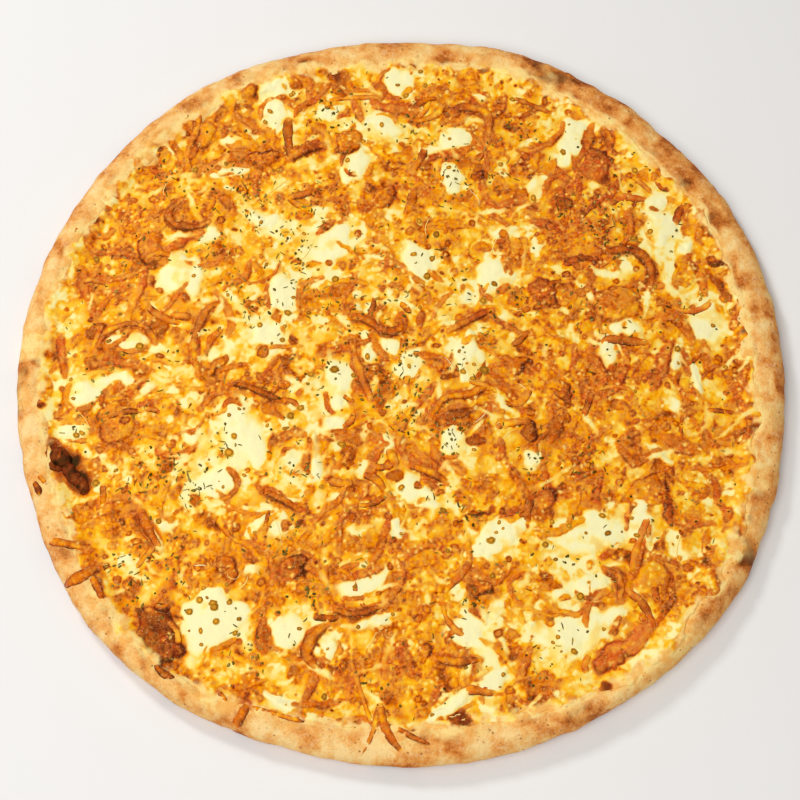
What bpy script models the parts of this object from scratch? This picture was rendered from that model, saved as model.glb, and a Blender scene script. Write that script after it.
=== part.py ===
"""Four cheese pizza, 33 cm across, as closed solids.

A thin round base carries a raised, uneven rim. A bed of melted cheese fills the base up to the
rim. Pools of white cheese, browned lumps and browned strips of cheese rest on the bed.
Metres, +Z up. The origin is under the middle of the pizza, on its flat underside.
"""

import math

import bmesh
import bpy
from mathutils import Vector
from mathutils.bvhtree import BVHTree

MM = 0.001
GAP = 0.35 * MM

# Base and rim
OUTER_RADIUS = 166 * MM
RIM_WIDTH = 14 * MM
DOUGH_THICKNESS = 5 * MM
CROWN_HEIGHT = 12.6 * MM
CROWN_TO_EDGE = 9 * MM
SLOPE_LENGTH = 20 * MM
TURN_STEPS = 64
EDGE_STEPS = 7

# Bed of melted cheese
BED_HEIGHT = 10 * MM
BED_WAVE = 0.4 * MM
LIP_THICKNESS = 0.9 * MM
LIP_REACH = 1.5 * MM
BED_RINGS = (0.0, 0.22, 0.42, 0.60, 0.76, 0.88, 0.93, 0.965, 1.0)

# Where the cheese stops short of the mean rim line or runs out over the rim:
# (degrees from +X, spread in degrees, change of the rim's width)
RIM_CHANGES = (
    (-125, 7, -6 * MM),
    (-56, 8, -6 * MM),
    (-90, 14, 2 * MM),
    (44, 8, 4 * MM),
    (180, 30, -3 * MM),
    (12, 22, 2 * MM),
)

# Pools of white cheese on the bed, in millimetres and degrees: (x, y, length, width, turn)
WHITE_POOLS = (
    (-77, -106, 26, 25, 0),
    (-77, -48, 18, 17, 0),
    (-67, -25, 32, 16, 117),
    (-55, -67, 16, 14, 20),
    (-27, -4, 26, 10, 85),
    (6, -50, 20, 9, -10),
    (30, 7, 22, 12, 80),
    (41, -69, 32, 12, 39),
    (-17, -89, 26, 16, 10),
    (-47, -112, 14, 15, 0),
    (27, -110, 17, 15, 30),
    (26, -136, 36, 8, 32),
    (78, -71, 24, 19, 0),
    (98, -66, 20, 11, 80),
    (78, -92, 15, 11, 0),
    (74, -111, 34, 13, 22),
    (131, 25, 18, 14, 45),
    (-118, 15.5, 20, 10, 0),
    (-135, -9, 15, 13, 0),
    (-139, -24, 17, 9, 0),
    (-96, 46, 24, 16, 100),
    (-57, 18, 14, 14, 0),
    (-53, 38, 18, 13, 100),
    (8, 54, 24, 12, 113),
    (41, 45, 18, 13, 70),
    (-34, 62, 24, 18, 20),
    (-73, 114, 14, 12, 0),
    (-58, 126, 18, 13, 80),
    (-3, 141, 16, 14, 0),
    (-13, 119, 22, 12, 0),
    (-20, 101, 18, 13, 80),
    (25, 112, 18, 12, 50),
    (77, 111, 22, 14, 75),
    (115, 69, 16, 14, 20),
)
POOL_SIDES = 12
POOL_RINGS = 5
POOL_THICKNESS = 1.9 * MM

# Browned lumps and slabs: name, (x, y, length, width, turn), thickness, ribs along the length
LUMPS = (
    ("dark_slab", (-98, -111, 25, 11, -62), 3.4 * MM, 0),
    ("red_slab", (92, -116, 32, 10, 37), 3.2 * MM, 3),
    ("ribbed_lump", (93, 34, 20, 16, 100), 4.2 * MM, 4),
    ("fan_lump", (-120, -21, 17, 16, 30), 3.4 * MM, 3),
    ("burnt_lump", (-139, -42, 20, 12, -45), 4.2 * MM, 2),
    ("orange_slab", (-88, 115, 17, 9, 75), 3.0 * MM, 0),
)
LUMP_SIDES = 16
LUMP_RINGS = 7

# Browned strips: (width, route), in millimetres
STRIPS = (
    (6.0, ((-109, -58), (-105, -66), (-99, -76))),
    (4.0, ((-131, 11), (-127, 20), (-118, 24.5), (-110, 23), (-105, 16))),
    (5.0, ((-77, 34), (-84, 30), (-89, 14), (-86, 1))),
    (3.6, ((-73, -3), (-64, -5), (-48, -12))),
    (5.0, ((-24, 27), (-14, 26), (-7, 21), (0, 22), (0, 29))),
    (5.0, ((-20, 14), (-18, 5), (-15, -4), (-12, -10))),
    (5.0, ((21, 21), (30, 26), (40, 31))),
    (5.0, ((13, -18), (19, -10), (29, -8), (38, -4))),
    (4.6, ((2, -39), (12, -42), (20, -47))),
    (4.6, ((-59, -50), (-50, -54), (-42, -59))),
    (5.0, ((-28, -101), (-18, -103), (-5, -99))),
    (6.0, ((-30, -107), (-35, -112), (-38, -119), (-33, -126))),
    (5.0, ((13, -121), (24, -122.5), (33, -121.5))),
    (5.0, ((84, -84), (90, -88), (90, -98))),
    (6.6, ((88, 58), (100, 59), (107, 55), (110, 48), (108, 40))),
    (5.0, ((-96, 83), (-102, 77), (-99, 71), (-91, 70), (-84, 72))),
    (6.0, ((22, 124), (27, 129), (36, 128), (40, 123), (39, 112))),
    (6.0, ((-50, 103), (-42, 108), (-33, 110))),
)
STRIP_FLATNESS = 0.55
STRIP_STEPS = 7
STRIP_TIP = 0.6

# Name, base colour, roughness
CRUST_FINISH = ("baked_crust", (0.80, 0.48, 0.22), 0.75)
BED_FINISH = ("melted_cheese", (0.92, 0.50, 0.09), 0.38)
WHITE_FINISH = ("white_cheese", (0.95, 0.88, 0.52), 0.32)
BROWNED_FINISH = ("browned_cheese", (0.62, 0.20, 0.03), 0.42)
BURNT_FINISH = ("burnt_cheese", (0.10, 0.03, 0.02), 0.65)


def smooth_step(share):
    """A smooth rise from 0 to 1 as share goes from 0 to 1."""
    share = min(max(share, 0.0), 1.0)
    return share * share * (3 - 2 * share)


def edge_radius(angle):
    """The pizza's outer radius in a direction: a circle with the slight corners of hand-shaped dough."""
    corner = angle + math.radians(135)
    return OUTER_RADIUS + 1.2 * MM * math.cos(4 * corner) + 0.9 * MM * math.cos(7 * corner)


def rim_width(angle):
    """How wide the bare rim is in a direction."""
    width = RIM_WIDTH
    for degrees, spread, change in RIM_CHANGES:
        away = math.remainder(angle - math.radians(degrees), math.tau)
        width += change * math.exp(-0.5 * (away / math.radians(spread)) ** 2)
    return width


def warped_radius(radius, angle):
    """Moves a radius of the plain turned shape to where the uneven rim puts it."""
    inner, rim = OUTER_RADIUS - RIM_WIDTH, rim_width(angle)
    true_inner = edge_radius(angle) - rim
    if radius <= inner:
        return radius * true_inner / inner
    return true_inner + (radius - inner) * rim / RIM_WIDTH


def plain_radius(radius, angle):
    """The inverse of warped_radius."""
    inner, rim = OUTER_RADIUS - RIM_WIDTH, rim_width(angle)
    true_inner = edge_radius(angle) - rim
    if radius <= true_inner:
        return radius * inner / true_inner
    return inner + (radius - true_inner) * RIM_WIDTH / rim


def dough_top(radius):
    """Height of the base's upper side at a radius of the plain shape, up to the rim's crown."""
    rise = (radius - (OUTER_RADIUS - CROWN_TO_EDGE - SLOPE_LENGTH)) / SLOPE_LENGTH
    return DOUGH_THICKNESS + (CROWN_HEIGHT - DOUGH_THICKNESS) * smooth_step(rise)


def rim_swell(radius, angle):
    """Uneven rise of the rim, none on the flat base."""
    share = smooth_step((radius - (OUTER_RADIUS - CROWN_TO_EDGE - SLOPE_LENGTH)) / SLOPE_LENGTH)
    waves = math.sin(5 * angle + 0.7) + 0.7 * math.sin(9 * angle + 2.1) + 0.5 * math.sin(16 * angle)
    return 0.45 * MM * share * waves


def bed_top(x, y):
    """Height of the cheese bed over a point of the plan."""
    radius = plain_radius(math.hypot(x, y), math.atan2(y, x))
    wave_x, wave_y = x / (14 * MM), y / (16 * MM)
    wave = math.sin(wave_x + 0.5 * wave_y) + math.sin(0.8 * wave_y - 0.4 * wave_x + 1.3)
    level = BED_HEIGHT + BED_WAVE * wave * (1 - smooth_step((radius - 0.12) / 0.025))
    lip = dough_top(radius) + rim_swell(radius, math.atan2(y, x)) + GAP + LIP_THICKNESS
    return max(level, lip)


def finish(name, colour, roughness):
    """The Principled material of that name, made on first use."""
    material = bpy.data.materials.get(name)
    if material is None:
        material = bpy.data.materials.new(name)
        material.use_nodes = True
        shader = material.node_tree.nodes["Principled BSDF"]
        shader.inputs["Base Color"].default_value = (*colour, 1.0)
        shader.inputs["Roughness"].default_value = roughness
        material.diffuse_color = (*colour, 1.0)
    return material


def add_node(name, data, look):
    """Puts an object of this data in the pizza's collection, with its material."""
    obj = bpy.data.objects.new(name, data)
    bpy.data.collections["four_cheese_pizza"].objects.link(obj)
    data.materials.append(finish(*look))
    return obj


def to_plain_mesh(obj):
    """Replaces an object by the mesh that its modifiers or its curve make, and returns that object."""
    name = obj.name
    graph = bpy.context.evaluated_depsgraph_get()
    mesh = bpy.data.meshes.new_from_object(obj.evaluated_get(graph))
    solid = bmesh.new()
    solid.from_mesh(mesh)
    bmesh.ops.remove_doubles(solid, verts=solid.verts, dist=1e-6)
    bmesh.ops.recalc_face_normals(solid, faces=solid.faces)
    solid.to_mesh(mesh)
    solid.free()
    material = obj.data.materials[0]
    bpy.data.objects.remove(obj)
    result = bpy.data.objects.new(name, mesh)
    bpy.data.collections["four_cheese_pizza"].objects.link(result)
    if not mesh.materials:
        mesh.materials.append(material)
    mesh.shade_smooth()
    return result


def turned(name, profile, look):
    """A profile of (radius, height) points, from the top middle to the bottom middle, turned about +Z."""
    mesh = bpy.data.meshes.new(name)
    points = [(radius, 0, height) for radius, height in profile]
    mesh.from_pydata(points, [(i, i + 1) for i in range(len(points) - 1)], [])
    obj = add_node(name, mesh, look)
    turn = obj.modifiers.new("Turn", "SCREW")
    turn.steps = turn.render_steps = TURN_STEPS
    turn.use_merge_vertices = True
    turn.merge_threshold = 0.00001
    return to_plain_mesh(obj)


def slope_radii():
    """Radii of the rings over the base and up the rim's inner slope, shared by base and bed."""
    foot = OUTER_RADIUS - CROWN_TO_EDGE - SLOPE_LENGTH
    flat = [0.0, 0.5 * foot, foot]
    return flat + [foot + SLOPE_LENGTH * share for share in (0.2, 0.4, 0.6, 0.8)]


def make_crust():
    """The base and its rim: flat underside, rounded edge, raised crown, slope down to the base."""
    profile = [(radius, dough_top(radius)) for radius in slope_radii()]
    half = CROWN_HEIGHT / 2
    for step in range(EDGE_STEPS + 1):
        turn = math.pi * (0.5 - step / EDGE_STEPS)
        across = OUTER_RADIUS - CROWN_TO_EDGE * (1 - math.cos(turn))
        profile.append((across, half + half * math.sin(turn)))
    profile.append((0.0, 0.0))
    crust = turned("crust", profile, CRUST_FINISH)
    for vertex in crust.data.vertices:
        x, y, z = vertex.co
        angle, radius = math.atan2(y, x), math.hypot(x, y)
        z += rim_swell(radius, angle) * smooth_step(z / CROWN_HEIGHT)
        radius = warped_radius(radius, angle)
        vertex.co = (radius * math.cos(angle), radius * math.sin(angle), z)
    return crust


def make_bed():
    """The melted cheese: it lies on the base, fills it and laps thinly onto the rim's slope."""
    edge = OUTER_RADIUS - RIM_WIDTH + LIP_REACH
    under = [radius for radius in slope_radii() if radius < edge - 2 * MM] + [edge]
    profile = [(edge * share, 2 * BED_HEIGHT) for share in BED_RINGS]
    profile += [(radius, 0.0) for radius in reversed(under)]
    bed = turned("melted_cheese", profile, BED_FINISH)
    for vertex in bed.data.vertices:
        x, y, z = vertex.co
        angle, radius = math.atan2(y, x), math.hypot(x, y)
        out = warped_radius(radius, angle)
        x, y = out * math.cos(angle), out * math.sin(angle)
        under_side = dough_top(radius) + rim_swell(radius, angle) + GAP
        vertex.co = (x, y, bed_top(x, y) if z > BED_HEIGHT else under_side)
    return bed


class Ground:
    """The upper side of the base and the bed together, which everything on the pizza rests on."""

    def __init__(self, *solids):
        self.trees = [
            BVHTree.FromPolygons(
                [vertex.co for vertex in solid.data.vertices],
                [face.vertices for face in solid.data.polygons],
            )
            for solid in solids
        ]

    def height(self, x, y):
        """Height of the ground over a point of the plan, with the gap that keeps solids apart."""
        start, down = Vector((x, y, 1.0)), Vector((0.0, 0.0, -1.0))
        hits = [tree.ray_cast(start, down)[0] for tree in self.trees]
        return max(hit.z for hit in hits if hit) + GAP


def make_blob(ground, name, place, thickness, look, sides, rings, ribs=0, phase=0.0):
    """A soft blob that follows the ground below it: an uneven oval in plan, domed above, flat below."""
    x0, y0, length, width, turn = place
    turn = math.radians(turn)
    cage = bmesh.new()
    bmesh.ops.create_uvsphere(cage, u_segments=sides, v_segments=rings, radius=1.0)
    for vertex in cage.verts:
        along, across, up = vertex.co
        angle = math.atan2(across, along)
        bulge = 1 + 0.07 * math.sin(3 * angle + phase) + 0.05 * math.sin(5 * angle + 2 * phase)
        ridge = 1 + 0.16 * math.cos(ribs * math.pi * along) if ribs else 1.0
        along *= 0.5 * length * MM * bulge
        across *= 0.5 * width * MM * bulge
        x = x0 * MM + along * math.cos(turn) - across * math.sin(turn)
        y = y0 * MM + along * math.sin(turn) + across * math.cos(turn)
        vertex.co = (x, y, ground.height(x, y) + thickness * ridge * max(up, 0.0))
    mesh = bpy.data.meshes.new(name)
    cage.to_mesh(mesh)
    cage.free()
    mesh.shade_smooth()
    return add_node(name, mesh, look)


def smooth_route(points, steps):
    """Points at equal shares of a Catmull-Rom curve through the given points."""
    ends = [2 * points[0] - points[1], *points, 2 * points[-1] - points[-2]]
    route = []
    for step in range(steps + 1):
        place = step / steps * (len(points) - 1)
        piece = min(int(place), len(points) - 2)
        t = place - piece
        a, b, c, d = ends[piece : piece + 4]
        route.append(
            0.5 * (2 * b + (c - a) * t + (2 * a - 5 * b + 4 * c - d) * t**2 + (3 * b - a - 3 * c + d) * t**3)
        )
    return route


def make_strip(ground, name, width, route):
    """A strip of cheese along its route: a round curve with thin tips, pressed flat onto the ground."""
    points = smooth_route([Vector((x * MM, y * MM, 0.0)) for x, y in route], STRIP_STEPS)
    curve = bpy.data.curves.new(name, "CURVE")
    curve.dimensions = "3D"
    curve.bevel_depth = 0.5 * width * MM
    curve.bevel_resolution = 1
    curve.use_fill_caps = True
    spline = curve.splines.new("POLY")
    spline.points.add(len(points) - 1)
    for index, (spot, point) in enumerate(zip(spline.points, points)):
        share = index / (len(points) - 1)
        spot.co = (*point, 1.0)
        spot.radius = STRIP_TIP + (1 - STRIP_TIP) * math.sin(math.pi * share) ** 0.5
    strip = to_plain_mesh(add_node(name, curve, BROWNED_FINISH))
    for vertex in strip.data.vertices:
        x, y, z = vertex.co
        vertex.co.z = ground.height(x, y) + STRIP_FLATNESS * (z + 0.5 * width * MM)
    return strip


def sit_on_origin(objects):
    """Moves all the solids so that the origin is under the middle of their common box."""
    points = [vertex.co for obj in objects for vertex in obj.data.vertices]
    low = Vector(min(point[axis] for point in points) for axis in range(3))
    high = Vector(max(point[axis] for point in points) for axis in range(3))
    shift = Vector(((low.x + high.x) / 2, (low.y + high.y) / 2, low.z))
    for obj in objects:
        for vertex in obj.data.vertices:
            vertex.co -= shift


def main():
    """Clears the scene and makes every solid of the pizza."""
    for obj in list(bpy.data.objects):
        bpy.data.objects.remove(obj)
    collection = bpy.data.collections.new("four_cheese_pizza")
    bpy.context.scene.collection.children.link(collection)
    crust, bed = make_crust(), make_bed()
    ground = Ground(crust, bed)
    solids = [crust, bed]
    for index, place in enumerate(WHITE_POOLS):
        name, phase = f"white_cheese_{index + 1:02d}", 2.4 * index
        solids.append(
            make_blob(
                ground, name, place, POOL_THICKNESS, WHITE_FINISH, POOL_SIDES, POOL_RINGS, 0, phase
            )
        )
    for name, place, thickness, ribs in LUMPS:
        look = BURNT_FINISH if name == "burnt_lump" else BROWNED_FINISH
        solids.append(make_blob(ground, name, place, thickness, look, LUMP_SIDES, LUMP_RINGS, ribs))
    for index, (width, route) in enumerate(STRIPS):
        solids.append(make_strip(ground, f"browned_strip_{index + 1:02d}", width, route))
    sit_on_origin(solids)


main()
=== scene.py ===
"""Looks of the four cheese pizza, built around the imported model.

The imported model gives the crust, the bed of melted cheese and the place of every pool, lump and
strip. This script lays a finely shaped sheet of melted cheese over the bed, with the white pools
melted into it, and adds the dough's skin, browned strips, charred bits, blisters, pale threads of
cheese and dried herbs as meshes.
"""

from __future__ import annotations

import logging
import math
from collections.abc import Callable, Iterable, Iterator, Sequence
from contextlib import contextmanager
from dataclasses import dataclass
from enum import Enum

import bpy
import numpy as np
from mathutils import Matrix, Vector
from mathutils.bvhtree import BVHTree


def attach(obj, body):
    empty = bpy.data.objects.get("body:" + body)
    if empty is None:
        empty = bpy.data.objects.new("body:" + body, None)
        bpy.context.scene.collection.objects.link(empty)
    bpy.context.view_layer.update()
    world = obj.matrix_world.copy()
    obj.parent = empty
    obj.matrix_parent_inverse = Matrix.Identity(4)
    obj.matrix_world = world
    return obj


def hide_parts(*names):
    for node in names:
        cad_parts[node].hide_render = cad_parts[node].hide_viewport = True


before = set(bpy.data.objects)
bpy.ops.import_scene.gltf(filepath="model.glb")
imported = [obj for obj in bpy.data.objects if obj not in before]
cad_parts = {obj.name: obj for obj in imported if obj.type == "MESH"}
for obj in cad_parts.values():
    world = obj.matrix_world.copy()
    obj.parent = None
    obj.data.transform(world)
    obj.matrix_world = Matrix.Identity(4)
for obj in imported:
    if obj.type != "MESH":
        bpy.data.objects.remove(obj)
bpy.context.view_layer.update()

LOG = logging.getLogger("four_cheese_pizza")
MM = 0.001

Colour = tuple[float, float, float, float]
Stops = tuple[tuple[float, Colour], ...]
Array = np.ndarray
Pair = tuple[Array, Array]
Object = bpy.types.Object
Material = bpy.types.Material
Window = tuple[slice, slice]


def srgb(red: int, green: int, blue: int) -> Colour:
    """Turns a display colour into the linear colour that a shader takes.

    Args:
        red: display value, 0 to 255.
        green: display value, 0 to 255.
        blue: display value, 0 to 255.

    Returns:
        The linear colour with alpha 1.
    """
    shares = (red / 255, green / 255, blue / 255)
    linear = [s / 12.92 if s <= 0.04045 else ((s + 0.055) / 1.055) ** 2.4 for s in shares]
    return (linear[0], linear[1], linear[2], 1.0)


def stops(*rows: tuple[float, int, int, int]) -> Stops:
    """A colour ramp's stops from their positions and display colours."""
    return tuple((position, srgb(*colour)) for position, *colour in rows)


# ---------------------------------------------------------------- noise and small maths


TABLE = 128  # random values on each side of a noise's table, after which it repeats
SHIFT = 500.0  # moves every point of the plan to positive cells


def smooth_step(low: float, high: float, value: Array) -> Array:
    """Rises smoothly from 0 to 1 as value goes from low to high."""
    share = np.clip((value - low) / (high - low), 0.0, 1.0)
    return share * share * (3.0 - 2.0 * share)


def bell(value: Array, middle: float, width: float) -> Array:
    """A bell curve: 1 where value is middle, about a third one width away from it."""
    return np.exp(-(((value - middle) / width) ** 2))


def around_spot(x: Array, y: Array, spot: Sequence[float], reach: float) -> Array:
    """1 at a spot of the plan, fading to 0 round it; the spot and the reach are in millimetres."""
    return bell(np.hypot(x - spot[0] * MM, y - spot[1] * MM), 0.0, reach * MM)


def in_disc(rng: np.random.Generator, radius: float, count: int | None = None) -> Pair:
    """Random places spread evenly over a disc of the plan.

    Args:
        rng: the random numbers to use.
        radius: the disc's radius in metres.
        count: how many places; None makes one and returns plain numbers.

    Returns:
        The places' x and y.
    """
    angle, away = rng.uniform(0, math.tau, count), radius * np.sqrt(rng.uniform(0, 1, count))
    return away * np.cos(angle), away * np.sin(angle)


def blended(table: Array, rows: Pair, columns: Pair, du: Array, dv: Array) -> Array:
    """Blends a table's values at two rows and two columns, du of the way across and dv of the way up."""
    near = table[rows[0], columns[0]] * (1 - du) + table[rows[0], columns[1]] * du
    far = table[rows[1], columns[0]] * (1 - du) + table[rows[1], columns[1]] * du
    return near * (1 - dv) + far * dv


def lattice_noise(x: Array, y: Array, wavelength: float, seed: int) -> Array:
    """Smooth noise over the plan: random values on a turned square lattice, blended by fifth powers.

    Args:
        x: plan coordinates in metres.
        y: plan coordinates in metres.
        wavelength: the lattice's spacing in metres.
        seed: seed of the random values and of the lattice's turn.

    Returns:
        Values from -1 to 1, in the shape of x.
    """
    rng = np.random.default_rng(seed)
    table = rng.uniform(-1.0, 1.0, (TABLE, TABLE))
    turn = rng.uniform(0.0, math.tau)
    u = (x * math.cos(turn) - y * math.sin(turn)) / wavelength + SHIFT
    v = (x * math.sin(turn) + y * math.cos(turn)) / wavelength + SHIFT
    column = np.floor(u).astype(int)
    row = np.floor(v).astype(int)
    du = u - column
    dv = v - row
    du = du**3 * (du * (du * 6.0 - 15.0) + 10.0)
    dv = dv**3 * (dv * (dv * 6.0 - 15.0) + 10.0)
    rows = (row % TABLE, (row + 1) % TABLE)
    columns = (column % TABLE, (column + 1) % TABLE)
    return blended(table, rows, columns, du, dv)


def layered_noise(x: Array, y: Array, wavelength: float, seed: int, layers: int = 3) -> Array:
    """Adds layers of lattice noise, each with half the wavelength and 0.55 of the height of the last."""
    total = np.zeros_like(x)
    height = 1.0
    for layer in range(layers):
        total += height * lattice_noise(x, y, wavelength * 0.5**layer, seed + 17 * layer)
        height *= 0.55
    return total


def cell_pattern(x: Array, y: Array, spacing: float, seed: int) -> Pair:
    """Cells round scattered points, one point in each square of a lattice.

    Args:
        x: plan coordinates in metres.
        y: plan coordinates in metres.
        spacing: size of the lattice's squares in metres.
        seed: seed of the points.

    Returns:
        Distance to the nearest point in units of spacing, and a random number from 0 to 1 of its cell.
    """
    rng = np.random.default_rng(seed)
    spots = rng.uniform(0.1, 0.9, (TABLE, TABLE, 2))
    marks = rng.uniform(0.0, 1.0, (TABLE, TABLE))
    u = x / spacing + SHIFT
    v = y / spacing + SHIFT
    column = np.floor(u).astype(int)
    row = np.floor(v).astype(int)
    nearest = np.full(x.shape, 9.0)
    mark = np.zeros(x.shape)
    for down in (-1, 0, 1):
        for right in (-1, 0, 1):
            r = (row + down) % TABLE
            c = (column + right) % TABLE
            away = np.hypot(column + right + spots[r, c, 0] - u, row + down + spots[r, c, 1] - v)
            closer = away < nearest
            nearest = np.where(closer, away, nearest)
            mark = np.where(closer, marks[r, c], mark)
    return nearest, mark


def blurred(values: Array, reach: float) -> Array:
    """Blurs a square array by a bell curve, through its Fourier transform.

    Args:
        values: the array.
        reach: the bell curve's width in cells.

    Returns:
        The blurred array.
    """
    rows = np.fft.fftfreq(values.shape[0])[:, None]
    columns = np.fft.rfftfreq(values.shape[1])[None, :]
    weights = np.exp(-2.0 * (math.pi * reach) ** 2 * (rows**2 + columns**2))
    return np.fft.irfft2(np.fft.rfft2(values) * weights, s=values.shape)


# ---------------------------------------------------------------- shader nodes


def operator(operation: str, swapped: bool = False) -> Callable[[Value, Term], Value]:
    """Makes an operator of Value that adds a Math node, with self as the second term if swapped."""

    def operate(self: Value, other: Term) -> Value:
        """Adds the Math node."""
        first, second = (other, self) if swapped else (self, other)
        return self.nodes.value("ShaderNodeMath", {"operation": operation}, {0: first, 1: second})

    return operate


class Value:
    """A shader socket that takes part in Python expressions; each operator adds one Math node."""

    __add__ = operator("ADD")
    __radd__ = operator("ADD", swapped=True)
    __sub__ = operator("SUBTRACT")
    __rsub__ = operator("SUBTRACT", swapped=True)
    __mul__ = operator("MULTIPLY")
    __rmul__ = operator("MULTIPLY", swapped=True)

    def __init__(self, nodes: Nodes, socket: bpy.types.NodeSocket) -> None:
        """Wraps a socket of the tree that nodes builds."""
        self.nodes = nodes
        self.socket = socket

    def between(self, low: float, high: float) -> Value:
        """Rises smoothly from 0 to 1 as the value goes from low to high."""
        settings = {"interpolation_type": "SMOOTHSTEP"}
        return self.nodes.value("ShaderNodeMapRange", settings, {0: self, 1: low, 2: high})


Term = Value | float


class Nodes:
    """Builds one material's node tree."""

    SHEEN = 0.30  # specular level of fat and baked dough
    SHEEN_TINT = (1.0, 0.70, 0.08, 1.0)  # keeps the highlights on them warm

    def __init__(self, name: str) -> None:
        """Makes the material and clears its tree down to a Principled shader."""
        self.material = bpy.data.materials.new(name)
        self.material.use_nodes = True
        self.tree = self.material.node_tree
        self.shader = self.tree.nodes["Principled BSDF"]

    def node(self, kind: str, settings: dict | None = None, inputs: dict | None = None) -> bpy.types.Node:
        """Adds a node.

        Args:
            kind: the node's type.
            settings: properties to set first; "stops" holds a ramp's (position, colour) pairs.
            inputs: what each socket takes, by name or number: a Value, a number or a colour.

        Returns:
            The node.
        """
        made = self.tree.nodes.new(kind)
        for key, setting in (settings or {}).items():
            if key == "stops":
                self._set_stops(made.color_ramp, setting)
            else:
                setattr(made, key, setting)
        for key, term in (inputs or {}).items():
            self.feed(made.inputs[key], term)
        return made

    @staticmethod
    def _set_stops(ramp: bpy.types.ColorRamp, wanted: Stops) -> None:
        """Gives a colour ramp its stops."""
        while len(ramp.elements) < len(wanted):
            ramp.elements.new(1.0)
        for element, (position, colour) in zip(ramp.elements, wanted):
            element.position = position
            element.color = colour

    def feed(self, socket: bpy.types.NodeSocket, term: Term | Colour) -> None:
        """Links a Value to a socket, or sets the socket to a constant."""
        if isinstance(term, Value):
            self.tree.links.new(term.socket, socket)
        else:
            socket.default_value = term

    def value(
        self, kind: str, settings: dict | None = None, inputs: dict | None = None, output: int | str = 0
    ) -> Value:
        """Adds a node and returns one of its outputs."""
        return Value(self, self.node(kind, settings, inputs).outputs[output])

    def attribute(self, name: str) -> Value:
        """Reads a number that the mesh stores at each point."""
        return self.value("ShaderNodeAttribute", {"attribute_name": name}, output="Fac")

    def noise(self, millimetres: float, detail: float = 2.0, rough: float = 0.5) -> Value:
        """Noise from 0 to 1 with features of about that size, on Object coordinates."""
        place = self.value("ShaderNodeTexCoord", output="Object")
        inputs = {"Vector": place, "Scale": 1.0 / (millimetres * MM), "Detail": detail, "Roughness": rough}
        return self.value("ShaderNodeTexNoise", None, inputs)

    def cells(self, millimetres: float) -> Value:
        """Distance from the middle of cells of about that size, on Object coordinates."""
        place = self.value("ShaderNodeTexCoord", output="Object")
        return self.value("ShaderNodeTexVoronoi", None, {"Vector": place, "Scale": 1.0 / (millimetres * MM)})

    def ramp(self, factor: Value, stops: Stops) -> Value:
        """A colour read from a ramp."""
        return self.value("ShaderNodeValToRGB", {"stops": stops}, {0: factor})

    def mix(self, factor: Term, first: Value | Colour, second: Value | Colour) -> Value:
        """Mixes two colours."""
        settings = {"data_type": "RGBA"}
        return self.value("ShaderNodeMix", settings, {0: factor, 6: first, 7: second}, output=2)

    def spilt_cheese(self) -> Value:
        """The colour of cheese run thinly over the dough, alike on the sheet's edge and on the crust."""
        patches = self.noise(6.0, 3.0, 0.6).between(0.42, 0.62)
        return self.mix(patches, srgb(250, 216, 138), srgb(243, 180, 94))

    def finish(self, colour: Value, roughness: Value, height: Value, depth: float) -> Material:
        """Connects colour, roughness and relief to the shader.

        Args:
            colour: goes to Base Color.
            roughness: goes to Roughness.
            height: relief from 0 to 1.
            depth: what a height of 1 stands for, in metres.

        Returns:
            The material.
        """
        self.feed(self.shader.inputs["Base Color"], colour)
        self.feed(self.shader.inputs["Roughness"], roughness)
        self.shader.inputs["Specular IOR Level"].default_value = self.SHEEN
        self.shader.inputs["Specular Tint"].default_value = self.SHEEN_TINT
        bump = self.value("ShaderNodeBump", None, {"Distance": depth, "Height": height})
        self.feed(self.shader.inputs["Normal"], bump)
        return self.material


# ---------------------------------------------------------------- finishes


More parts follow.
